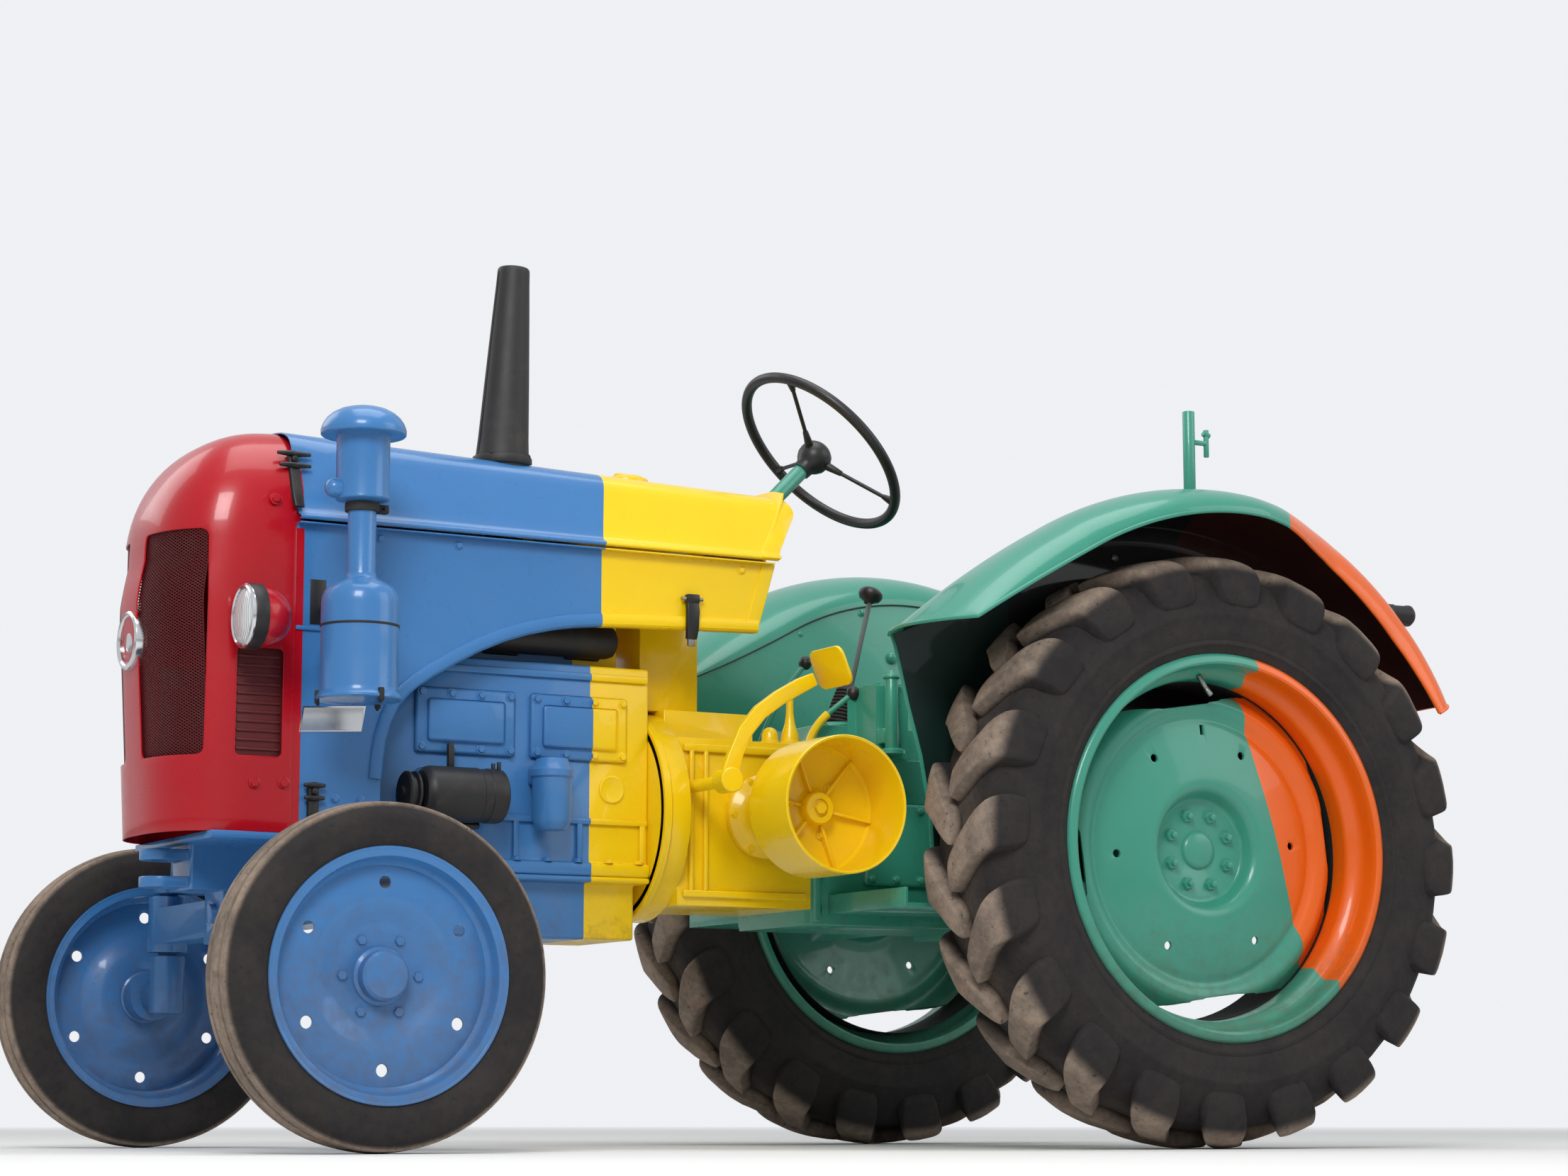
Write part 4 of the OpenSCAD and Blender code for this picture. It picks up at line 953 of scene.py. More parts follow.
def rubber_catch(x, low, high, surface, wing):
    """A rubber catch on the left: a strap down the sheet under two pins with swollen ends."""
    heights = (low, low + (high - low) * 0.3, high - 16, high)
    parts = [rubber_strap(x, [(z, 9, surface(z) + 1) for z in heights], 6)]
    for z, half in ((high - 4, wing), (high - 27, wing * 0.94)):
        y = surface(z) + 11
        parts.append(rod("wing", at(x - half, y + 1, z), at(x, y, z), 3.4, 6.4, 14, 1))
        parts.append(rod("wing", at(x, y, z), at(x + half, y + 1, z), 6.4, 3.4, 14, 1))
    z = high - 15
    y = surface(z)
    parts.append(rod("button", at(x, y + 6, z), at(x, y + 18, z), 8, 6, 18, 2))
    return joined("catch", parts)


def hood_out(z):
    """How far the hood's side stands from the middle at a height."""
    return stepwise([(height, y) for y, height in reversed(HOOD_LINE)], z)


def make_plate():
    """The model plate on the left, left blank."""
    y = PANEL_HALF
    plate = pushed("plate", [(0, 0), (123, -7), (116, 41), (-8, 48)], 3, at(1591, y + 1.5, 767), TO_RIGHT)
    editing(plate)
    picked(plate, lambda face: abs(face.normal.y) > 0.9, "FACE")
    bpy.ops.mesh.inset(thickness=0.004, depth=-0.0012, use_individual=True)
    edited()
    rounded(plate, 0.5, 2, 50)
    done(plate, "blank_plate", "chassis", chrome)


def make_catches():
    """What holds the hood on the left, with the slot in the side panel and its ledge."""
    y = PANEL_HALF
    stations = ((986, 10, y + 3), (1004, 12, y + 7), (1040, 13, y + 9), (1062, 12, y + 6), (1070, 12, y + 4))
    catches = [rubber_catch(1727, 1176, 1286, lambda z: hood_out(z - 14) + 2, 33),
               rubber_catch(1685, 592, 666, lambda z: y, 21),
               rubber_strap(904, stations, 5),
               slab("clamp", (890, y + 2, 1056), (918, y + 17, 1074), 3),
               slab("slot", (1666, y - 1, 961), (1697, y + 1, 1045), 0.4)]
    done(catches, "hood_catches", "chassis", grip_black)
    pin = rod("pin", at(880, y + 9, 1065), at(928, y + 9, 1065), 3.6, edge=1)
    hook = slab("hook", (896, y + 2, 972), (912, y + 9, 994), 2)
    done([pin, hook], "strap_pin", "chassis", steel)
    ledge = slab("ledge", (1632, y - 1, 949), (1725, y + 5, 957), 1.8)
    done([ledge, mirrored(ledge)], "side_ledge", "chassis", blue_paint)


def make_filler_cap():
    x = CAP_SEEN
    top = HOOD_TOP + hood_rise(x, HOOD_TOP)
    cap = lathe("cap", [(0, 22), (24, 21.5), (33, 19), (37, 16), (42, 14.5), (44, 11), (44, 3), (42, 0),
                        (0, -4)], at(x, 0, top), UP, 48)
    grip = slab("grip", (x - 27, -6, top + 19), (x + 27, 6, top + 26), 3)
    done([cap, grip], "filler_cap_turned", "chassis", yellow_paint, ["filler_cap"])


def make_stack():
    x, y = STACK
    shaft = lathe("shaft", [(0, 200), (25, 200), (25.5, 384), (27, 392), (29.5, 394), (31.5, 391),
                            (32, 384), (33, 360), (36.5, 300), (44, 160), (49.5, 50), (52, 16), (53.5, 9),
                            (52, 2), (40, 0), (0, 0)], steps=56)
    seam = rod("seam", mm(52.5, 0, 12), mm(32.5, 0, 384), 1.8, 1.4, 8)
    shaft = moved(joined("shaft", [shaft, seam]), tilted(at(x, y, HOOD_TOP - 4), -3))
    foot = lathe("foot", [(0, -34), (54, -34), (54, -12), (58, -8), (59, -4), (59, 4), (57, 8), (54, 9),
                          (0, 9)], at(x, y, HOOD_TOP), UP, 48)
    cutter = drawn("under", [at(1150, side, z + 2.6) for side, z in both_sides(HOOD_LINE)], closed=True)
    cut(foot, extruded(cutter, (0.22, 0, 0)))
    reach = 53 / math.sqrt(2)
    nuts = [hex_bolt("nut", at(x + reach * ahead, y + reach * side, HOOD_TOP + 8), (0, 0, 1), 8, 4)
            for ahead, side in ((1, 1), (-1, 1), (-1, -1), (1, -1))]
    riser = rod("riser", at(x, y, 1306), at(x, y, HOOD_TOP), 27)
    done([shaft, foot, riser] + nuts, "stack_turned", "chassis", stack_black,
         ["exhaust_stack"], 30)


def make_air_cleaner():
    x, y = CLEANER
    where = at(x, y, 0)
    body = lathe("body", [(0, 809), (60, 808), (68, 806), (72, 805), (76, 804.5), (78, 807), (77.5, 811),
                          (74.5, 814.5), (72, 820), (71, 827), (71, 900), (71, 978), (70, 990), (66, 1002),
                          (58, 1012), (45, 1020), (34, 1025), (29, 1030), (26.5, 1039), (26, 1150),
                          (26, 1163), (28, 1168), (44, 1170), (48, 1171.5), (49.5, 1174), (49, 1178),
                          (49, 1284), (50, 1289), (60, 1292), (72, 1291), (76, 1291), (78, 1293),
                          (78.6, 1299), (77.5, 1305), (74.5, 1313), (68, 1323), (58, 1332), (44, 1339.5),
                          (28, 1344), (12, 1346.5), (0, 1347)], where, UP, 72)
    spout = lathe("spout", [(0, 26), (8, 25), (14, 21), (17.5, 14), (18.5, 5), (18.5, -34), (0, -34)],
                  at(x + 46, y, 1190), TO_X, 32)
    parts = [body, spout]
    for z in (870, 975):
        parts.append(slab("arm", (x - 17, PANEL_HALF, z), (x + 17, y - 58, z + 20), 3))
    done(parts, "air_cleaner_turned", "chassis", blue_paint, ["air_cleaner"], 30)
    seam = lathe("seam", [(70, 937), (71.8, 937.4), (72.2, 939.5), (71.8, 941.6), (70, 942), (70, 937)],
                 where, UP, 72)
    clamp = lathe("clamp", [(27, 1150), (31, 1150.6), (31.6, 1153), (31.6, 1163), (31, 1166), (27, 1167),
                            (27, 1150)], where, UP, 60)
    ears = [slab("ear", (x - 50, y - 8, 1150), (x - 28, y + 8, 1166), 2)]
    ears.append(rod("screw", at(x - 40, y - 16, 1158), at(x - 40, y + 16, 1158), 3, edge=0.8))
    for turn in (100, 220, 340):
        spot = at(x + 73 * math.cos(math.radians(turn)), y + 73 * math.sin(math.radians(turn)), 806)
        clip = slab("clip", (x - 5, y + 70, 798), (x + 5, y + 79, 822), 1.6)
        ears.append(moved(clip, about(where, "Z", turn - 90)))
        ears.append(rod("hook", spot - mm(0, 0, 12), spot, 3, edge=0.8))
    done([seam, clamp] + ears, "cleaner_clamps", "chassis", hose_black)


# Wheels


def make_lug():
    """One lug of the left rear tyre, at the top of the wheel, from the tread's middle to the wall."""
    stations = [(-12, 574, -10, 538, 0, 26), (8, 577, 8, 539, 16, 31), (34, 577, 34, 539, 40, 34),
                (60, 575.5, 58, 535, 66, 37), (84, 572, 80, 527, 87, 42), (106, 564, 95, 517, 99, 47),
                (121, 550, 104, 508, 105, 50), (128, 534, 108, 497, 108, 51), (131, 515, 110, 486, 110, 50),
                (131.5, 494, 114, 476, 111, 47), (130, 474, 121, 466, 111, 42)]
    rows = []
    for out_y, out_r, in_y, in_r, along, half in stations:
        ring = []
        for share, depth in ((-1.24, 0), (-1.15, 0.3), (-1.05, 0.8), (-1.0, 0.95), (-0.92, 1.0),
                             (-0.4, 1.02), (0.4, 1.02), (0.92, 1.0), (1.0, 0.95), (1.05, 0.8), (1.15, 0.3),
                             (1.24, 0)):
            r = in_r + (out_r - in_r) * depth
            y = in_y + (out_y - in_y) * depth
            turn = (along + half * share) / 560
            ring.append(at(-r * math.sin(turn), REAR_Y + y, REAR_R + r * math.cos(turn)))
        rows.append(ring + ring[:1])
    lug = skin("lug", rows, wrapped=True)
    editing(lug)
    picked(lug, lambda edge: edge.is_boundary, "EDGE")
    bpy.ops.mesh.edge_face_add()
    face_outwards()
    edited()
    return moved(lug, about(at(0, REAR_Y, REAR_R), "Y", LUG_TURN))


def make_rear_tyre():
    centre = at(0, REAR_Y, REAR_R)
    wall = [(357, -108), (357, 108), (370, 110), (379, 112), (386, 117), (390, 119), (394, 123.5),
            (400, 124), (403, 122.5), (408, 125), (430, 128.5), (446, 129.5), (450, 131.5), (455, 132),
            (459, 130), (464, 128.5), (478, 124), (500, 113), (518, 104), (533, 90), (541, 62), (544, 30),
            (545, 0)]
    profile = wall + turned_over(wall[2:-1]) + [(357, -111)]
    casing = lathe("casing", profile, centre, TO_LEFT, 120)
    first = make_lug()
    # The other row of lugs stands half a step round, mirrored about the tyre's middle
    pitch = 360 / LUG_COUNT
    second = moved(mirrored(first), Matrix.Translation(mm(0, 2 * REAR_Y, 0)))
    moved(second, about(centre, "Y", pitch / 2))
    lugs = [first, second]
    for count in range(1, LUG_COUNT):
        lugs.append(copied(first, about(centre, "Y", pitch * count)))
        lugs.append(copied(second, about(centre, "Y", pitch * count)))
    treads = joined("lugs", lugs)
    modified(treads, "SUBSURF", levels=1, render_levels=1)
    tyre = joined("tyre", [casing, treads])
    worn = bpy.data.textures.new("worn", "CLOUDS")
    worn.noise_scale = 0.045
    modified(tyre, "DISPLACE", texture=worn, strength=0.0035, mid_level=0.5, texture_coords="LOCAL")
    done(tyre, "lugged_tyre_left", "rear_wheel_left", rear_rubber, ["rear_tyre_left"], 38)
    twin = mirrored(tyre)
    done(twin, "lugged_tyre_right", "rear_wheel_right", rear_rubber, ["rear_tyre_right"], 38)


def make_rear_rims():
    centre = at(0, REAR_Y, REAR_R)
    line = [(378, 109), (376.5, 114), (372, 118), (367, 119.5), (361, 120.5), (357, 118), (355.5, 113),
            (355, 104), (355, 84), (353, 73), (345, 64), (337, 57), (333.5, 50), (333, 44)]
    rim = walled(lathe("rim", line + turned_over(line), centre, TO_LEFT, 128), 4.5)
    disc = lathe("disc", [(34, 3), (96, 3), (103, 4.5), (108, 8), (112, 16), (117, 29), (122, 35),
                          (128, 37.5), (136, 37.5), (160, 34.5), (200, 27.5), (238, 22.5), (246, 21),
                          (252, 18), (259, 17), (266, 19), (274, 25), (282, 30), (289, 31.5), (296, 30),
                          (303, 24), (311, 13), (320, 4), (333, -1)], centre, TO_LEFT, 128)
    editing(disc)
    for turn, reach in ((9, 284), (97, 290), (187, 286), (277, 291)):
        sliced(round_axle(centre, reach, turn), radial(turn), clear_outer=True)
    edited()
    walled(disc, 7, 1)
    holes = [rod("hole", round_axle(centre, 210, turn, -40), round_axle(centre, 210, turn, 80), 8.2)
             for turn in range(34, 360, 60)]
    holes.append(slab("slot", (-4.5, REAR_Y - 30, REAR_R + 226), (4.5, REAR_Y + 70, REAR_R + 246), 1))
    cut(disc, joined("holes", holes))
    rounded(disc, 1.2, 2, 50)
    hub = lathe("hub", [(0, 20), (24, 19.5), (32, 17.5), (37, 13), (39.5, 6), (40, 2), (40, -14), (95, -14),
                        (95, -150), (35, -150), (35, -222), (0, -222)], centre, TO_LEFT, 56)
    groove = lathe("groove", [(46, 3), (50, 5.5), (54, 3), (50, 0), (46, 3)], centre, TO_LEFT, 56)
    parts = [rim, disc, hub, groove]
    for count in range(8):
        spot = round_axle(centre, 71, 22.5 + 45 * count, 3)
        parts.append(hex_bolt("nut", spot, (0, 1, 0), 23, 15))
        parts.append(rod("stud", spot, spot + mm(0, 24, 0), 7, 6, 12, 1))
    rim = done(parts, "rim_left", "rear_wheel_left", rim_paint, ["rear_rim_left"], 32)
    # Painted shade inside the barrel: a dark band seen through the gaps beside the disc
    inside = lathe("inside", [(331.4, 12), (331.4, -96), (332.6, -96), (332.6, 12), (331.4, 12)], centre,
                   TO_LEFT, 96)
    done(mirrored(inside), "barrel_right", "rear_wheel_right", barrel_painted_shade, turn=40)
    done(inside, "barrel_left", "rear_wheel_left", barrel_painted_shade, turn=40)
    done(mirrored(rim), "rim_right", "rear_wheel_right", rim_paint, ["rear_rim_right"], 32)


def make_valves():
    """The tyre valves, through points given as (ahead, out, up) from the wheel's centre."""
    for side, hand in ((1, "left"), (-1, "right")):
        foot, neck, tip = (at(ahead, side * (REAR_Y + out), REAR_R + up)
                           for ahead, out, up in ((27, 60, 338), (16, 68, 313), (8, 74, 299)))
        parts = [rod("stem", foot, neck, 6, 4.4, 12, 0.6), rod("cap", neck, tip, 5.6, 5, 12, 1.2)]
        done(parts, "valve_" + hand, "rear_wheel_" + hand, steel)


def make_front_wheels():
    centre = at(FRONT_X, FRONT_Y, FRONT_R)
    wall = [(205, -49), (205, 49), (220, 50), (226, 53), (236, 56.5), (250, 58.5), (256, 57.5), (262, 58.5),
            (274, 56), (284, 50), (290, 44.5), (295, 43), (296.5, 40), (297.5, 32), (297, 27), (291, 25),
            (291, 18), (298, 16), (299.5, 9), (300, 0)]
    profile = wall + turned_over(wall[2:-1]) + [(205, -49)]
    tyre = lathe("tyre", profile, centre, TO_LEFT, 112)
    done(tyre, "ribbed_tyre_left", "front_wheel_left", front_rubber, ["front_tyre_left"], 42)
    twin = mirrored(tyre)
    done(twin, "ribbed_tyre_right", "front_wheel_right", front_rubber, ["front_tyre_right"], 42)
    line = [(212, 51), (216, 54), (219.5, 54.5), (220.5, 52), (218, 49.5), (211, 49), (206, 47.5),
            (204, 43), (203, 33), (198, 26), (192.5, 21), (191.5, 17)]
    rim = walled(lathe("rim", line + turned_over(line), centre, TO_LEFT, 96), 3.5)
    disc = lathe("disc", [(50, 0), (86, 0), (96, 2.5), (110, 9), (126, 15), (134, 16.5), (150, 16.5),
                          (191, 16.5)], centre, TO_LEFT, 96)
    walled(disc, 5, 1)
    holes = [rod("hole", round_axle(centre, 160, turn, -40), round_axle(centre, 160, turn, 60), 11)
             for turn in range(0, 360, 60)]
    cut(disc, joined("holes", holes))
    rounded(disc, 1, 2, 50)
    hub = lathe("hub", [(0, 40), (26, 39.5), (38, 37), (43, 32), (44, 24), (44, 12), (50, 9), (52, 4),
                        (52, -4), (48, -6), (48, -52), (20, -52), (20, 34), (0, 34)], centre, TO_LEFT, 56)
    parts = [rim, disc, hub]
    for turn in range(30, 360, 60):
        parts.append(hex_bolt("nut", round_axle(centre, 70, turn, 1), (0, 1, 0), 16, 9))
    name = "front_rim_left_turned"
    rim = done(parts, name, "front_wheel_left", blue_paint, ["front_rim_left"], 32)
    name = "front_rim_right_turned"
    done(mirrored(rim), name, "front_wheel_right", blue_paint, ["front_rim_right"], 32)


# Fenders

# The crown turns about the wheel to BACK_ANGLE behind the top and FRONT_BEND ahead of it, and then runs
# down to its front edge at the height FRONT_CUT
BACK_ANGLE = 64
FRONT_BEND = 31
FRONT_CUT = 986
# Its section: the weld to the inner plate, the top and the lip
WELD_R = 606
TOP_RISE = 84
TOP_Y = 645
INNER_REACH = 187
LIP_R = 628
LIP_RISE = 62
OUTER_REACH = 150
# The front edge in plan, as (y, x)
FRONT_EDGE = [(458, 600), (500, 622), (550, 638), (600, 644), (650, 635), (700, 619), (750, 592), (800, 560)]
# How far out the lip stands at a turn, as (turn, y)
LIP_LINE = [(-64, 702), (-56, 688), (-48, 680), (-40, 684), (-34, 690), (-28, 700), (-22, 722), (-17, 749),
            (-12, 776), (-6, 792), (0, 795), (12, 789), (22, 773), (31, 758)]


def crown_at(r, turn):
    """A point (x, z) of the fender's side view at a radius and a turn forward from the top."""
    turn = math.radians(turn)
    return r * math.sin(turn), FENDER_Z + r * math.cos(turn)


def crown_section(inset=0.0):
    """The crown's section as (r, y), from the inner plate over the top to the lip."""
    turns = [math.radians(a) for a in range(0, 91, 6)]
    inner = [(WELD_R + (TOP_RISE - inset) * math.sin(a), TOP_Y - (INNER_REACH - inset) * math.cos(a))
             for a in turns]
    return inner + [(LIP_R + (LIP_RISE - inset) * math.cos(a), TOP_Y + (OUTER_REACH - inset) * math.sin(a))
                    for a in turns[1:]]


def fender_rows(inset=0.0):
    """Rows of the crown's skin from its back end to the front edge."""
    section = crown_section(inset)
    rows = []
    for step in range(57):
        turn = -BACK_ANGLE + (BACK_ANGLE + FRONT_BEND) * step / 56
        share = (stepwise(LIP_LINE, turn) - TOP_Y) / OUTER_REACH
        flat = max(0, (-50 - turn) / 14) ** 2 * 9
        row = []
        for r, y in section:
            x, z = crown_at(r - flat * (r - WELD_R) / TOP_RISE, turn)
            row.append(at(x, TOP_Y + (y - TOP_Y) * share if y > TOP_Y else y, z))
        rows.append(row)
    bend = math.radians(FRONT_BEND)
    for step in range(1, 29):
        share = step / 28
        row = []
        for r, y in section:
            y = TOP_Y + (y - TOP_Y) * (LIP_LINE[-1][1] - TOP_Y) / OUTER_REACH if y > TOP_Y else y
            x0, z0 = crown_at(r, FRONT_BEND)
            x1, z1 = stepwise(FRONT_EDGE, y), FRONT_CUT
            # From the bend it runs on straight and then turns down to the edge
            mid = ((x0 + x1) / 2 + 12, z0 - ((x1 - x0) / 2 + 12) * math.tan(bend) * 0.9)
            a, b, c = (1 - share) ** 2, 2 * share * (1 - share), share ** 2
            x = a * x0 + b * mid[0] + c * x1 - inset * share
            z = a * z0 + b * mid[1] + c * z1 - inset * share
            row.append(at(x, y, z))
        rows.append(row)
    return rows


def make_fenders():
    rows = fender_rows()
    crown = skin("crown", rows)
    walled(crown, 3, 1)
    edge = [row[-1] for row in rows] + list(reversed(rows[-1][:-1]))
    lip = pipe("lip", edge, 4.2, 12, 3)
    tail = pipe("tail", list(rows[0]), 3.4, 10, 3)
    front = [((row[0].x - AXLE_X) * 1000, row[0].z * 1000 + 1) for row in rows[56:][::-1]]
    back = [crown_at(WELD_R, turn) for turn in range(27, -BACK_ANGLE, -4)] + [crown_at(WELD_R, -BACK_ANGLE)]
    ahead = [(514, 640), (536, 756), (565, 856), (590, 960)]
    plate_line = front + back + [(-380, 520), (508, 520)] + ahead
    plate = pushed("plate", plate_line, 4, (AXLE_X, 0.462, 0), TO_RIGHT)
    cut(plate, rod("hole", at(0, 400, REAR_R), at(0, 520, REAR_R), 47, sides=48))
    rounded(plate, 1, 2, 50)
    spots = [crown_at(590, turn) for turn in (28, 12, -4, -20, -36, -52)] + [(560, 880), (520, 760)]
    rivets = [lathe("rivet", [(0, 3.2), (4, 2.6), (6.4, 0.6), (6.6, -0.5), (0, -0.5)], at(x, 458, z),
                    TO_RIGHT, 14) for x, z in spots]
    nuts = [lathe("nut", [(0, r * 0.9), (r * 0.55, r * 0.8), (r * 0.9, r * 0.45), (r, -0.5), (0, -0.5)],
                  at(x, 458, z), TO_RIGHT, 20) for x, z, r in ((41, 1083, 15), (118, 1180, 8))]
    left = joined("fender", [crown, plate, lip, tail] + rivets + nuts)
    right = mirrored(left)
    done(left, "fender_skin_left", "chassis", fender_paint, ["fender_left"], 38)
    done(right, "fender_skin_right", "chassis", fender_paint, ["fender_right"], 38)
    # The wheel's side of each fender is lined with painted shade: dark green ahead, near black over the
    # wheel and dark maroon behind
    liner = walled(skin("under", [row[:-1] for row in fender_rows(5.5)[:-3]]), 1.2, 0)
    wall_line = [(x - 4, z - 2) for x, z in front] + back + [(-372, 526), (503, 526)]
    wall_line += [(x - 5, z) for x, z in ahead]
    wall = pushed("wall", wall_line, 1.4, (AXLE_X, 0.4664, 0), TO_RIGHT)
    cut(wall, rod("hole", at(0, 400, REAR_R), at(0, 520, REAR_R), 52, sides=48))
    liner = joined("liner", [liner, wall])
    done(mirrored(liner), "fender_shade_liner_right", "chassis", shade_liner_paint, turn=38)
    done(liner, "fender_shade_liner_left", "chassis", shade_liner_paint, turn=38)
    # The weld between crown and plate shows as a dark line on the driver's side
    seam = pipe("seam", [row[0] + mm(0, -2.2, -1) for row in rows[::3]], 1.5, 6, 4)
    done([seam, mirrored(seam)], "fender_seams", "chassis", hose_black)


def make_lamp_post():
    x, y = -49, 560
    post = rod("post", at(x, y, 1270), at(x, y, 1474), 12.3, edge=1.5)
    foot = lathe("foot", [(20, -10), (19, 4), (14, 9), (12, 10), (12, -10)], at(x, y, 1284), UP, 32)
    arm = slab("arm", (x - 47, y - 5, 1407), (x - 11, y + 5, 1417), 3)
    pin = rod("pin", at(x - 43, y, 1384), at(x - 43, y, 1440), 5.5, edge=1.2)
    knob = rod("knob", at(x - 50, y, 1426), at(x - 36, y, 1434), 7, edge=2)
    done([post, foot, arm, pin, knob], "lamp_post_round", "chassis", green_paint,
         ["lamp_post"])


def make_tail_lamps():
    lamps = []
    lenses = []
    for side in (1, -1):
        where = at(-558, side * 613, 1085)
        lamps.append(lathe("case", [(0, 52), (17, 52), (20, 46), (20.5, 8), (22, 4), (22, -2), (20, -4),
                                    (0, -4)], where, TO_X, 40))
        foot = pushed("foot", [(-466, 1104), (-512, 1104), (-514, 1062), (-509, 1056)], 34,
                      (AXLE_X, (side * 615 + 17) / 1000, 0), TO_RIGHT)
        lamps.append(rounded(foot, 3, 2, 40))
        lenses.append(lathe("lens", [(19.5, -3), (18, -7), (12, -9.5), (0, -10.5)], where, TO_X, 40))
    done(lamps, "tail_cases", "chassis", black_paint, ["tail_lamps"])
    done(lenses, "tail_lenses", "chassis", lamp_red)


def make_liner_bolts():
    bolt = lathe("bolt", [(0, 6), (5, 5.4), (8.5, 2.6), (9, 0), (0, 0)], at(73, 467.5, 1177), TO_LEFT, 20)
    done([bolt, mirrored(bolt)], "liner_bolts", "chassis", steel)


# Steering and controls


def make_steering():
    place = tilted(at(*WHEEL_HUB), 180 - COLUMN_TILT)
    bpy.ops.object.select_all(action="DESELECT")
    bpy.ops.mesh.primitive_torus_add(major_segments=112, minor_segments=20, major_radius=0.196,
                                     minor_radius=0.011)
    parts = [bpy.context.object]
    low = mm(0, 0, 20)
    for turn in (33, 153, 273):
        toward = Vector((math.cos(math.radians(turn)), math.sin(math.radians(turn)), 0))
        near = low + toward * 0.030
        far = toward * 0.190
        parts.append(rod("spoke", near, far, 4.2, 4.2, 14))
        parts.append(rod("sleeve", near + (far - near) * 0.86, far, 5.2, 9.5, 14))
        parts.append(rod("sleeve", near, near + (far - near) * 0.24, 9.5, 5.6, 14, 1.0))
    parts.append(lathe("hub", [(0, -12), (12, -11), (22, -7), (30, 0), (35, 10), (36, 20), (34.5, 31),
                               (29, 41), (24, 47), (21, 52), (20, 66), (9, 68), (9, 104), (0, 104)],
                       steps=48))
    wheel = moved(joined("wheel", parts), place)
    done(wheel, "hand_wheel", "steering_wheel", grip_black, ["steering_wheel"], 40)
    # The yellow sleeve where the column leaves the hood
    sleeve = lathe("sleeve", [(18.4, 172), (20.5, 171), (22, 200), (26, 225), (32, 246), (32, 262),
                              (18.4, 262), (18.4, 172)], steps=40)
    done(moved(sleeve, place), "column_sleeve", "chassis", yellow_paint)


def make_gear_lever():
    boot = [(0, -8), (33, -8), (34, 0)]
    for count in range(11):
        z = 3 + count * 7.6
        r = 33 - 0.1 * count ** 1.9
        boot += [(r - 3.4, z), (r - 0.5, z + 1.9), (r, z + 3.6), (r - 0.5, z + 5.4)]
    boot += [(17, 90), (12, 95), (6, 97), (0, 97)]
    bellows = lathe("boot", boot, steps=40)
    moved(bellows, tilted(at(474, 50, 846), -14))
    done(bellows, "lever_boot", "chassis", hose_black)
    line = path((450, 50, 925), (436, 49, 975), (425, 48, 1022), (398, 25, 1075), (374, 3, 1122))
    stem = pipe("stem", line, 5.5, 12, 6)
    done(stem, "lever_stem", "chassis", stem_grey)
    bulb = [(0, -18), (8, -17), (11, -12), (22, -6), (26, 2), (25, 9), (19, 15), (10, 18.5), (0, 19.5)]
    knob = moved(lathe("knob", bulb, steps=36), tilted(at(370, 0, 1138), -20))
    done(knob, "lever_knob", "chassis", grip_black, ["gear_lever"])


def make_side_levers():
    right = path((575, -125, 782), (568, -125, 850), (515, -125, 935), (460, -125, 998))
    shafts = [rod("lever", at(556, 138, 864), at(505, 149, 906), 5.6), pipe("lever", right, 5.6, 12, 6),
              lathe("boss", [(0, 0), (13, 0), (13, 38), (10, 43), (6, 45), (0, 45)], at(575, -125, 776), UP,
                    28)]
    done(shafts, "small_levers", "chassis", green_paint, ["side_levers"])
    sleeve = path((592, 125, 786), (590, 125, 816), (578, 130, 842), (553, 139, 866))
    cone = [(0, 0), (24, 0), (24, 9), (19, 11), (18, 22), (15, 34), (11, 46), (8, 66), (6.5, 120), (0, 121)]
    dome = [(0, 0), (22, 0), (22, 7), (17, 9), (16, 24), (12, 32), (6, 36), (0, 37)]
    bosses = [pipe("sleeve", sleeve, 8.5, 14, 6),
              lathe("cone", cone, at(632, 122, 796), UP, 32),
              lathe("dome", dome, at(677, 120, 797), UP, 32)]
    done(bosses, "yellow_bosses", "chassis", yellow_paint)
    ball = [(0, -14), (6, -13.4), (11, -9.5), (14, -4), (14.6, 1), (13, 7), (9, 12), (4, 14.4), (0, 15)]
    balls = [lathe("ball", ball, where, UP, 28) for where in path((500, 150, 910), (455, -125, 1006))]
    done(balls, "lever_balls", "chassis", grip_black)


def flat_bar(name, points, half, low, high):
    """A flat bar on edge along a line of (x, z) points, between two distances from the middle plane."""
    left = []
    right = []
    for index, (x, z) in enumerate(points):
        run = run_at(points, index)
        wide = half[index] if isinstance(half, list) else half
        left.append((x - run.y * wide, z + run.x * wide))
        right.append((x + run.y * wide, z - run.x * wide))
    return rounded(pushed(name, left + right[::-1], high - low, at(0, high, 0), TO_RIGHT), 2.5, 3, 50)


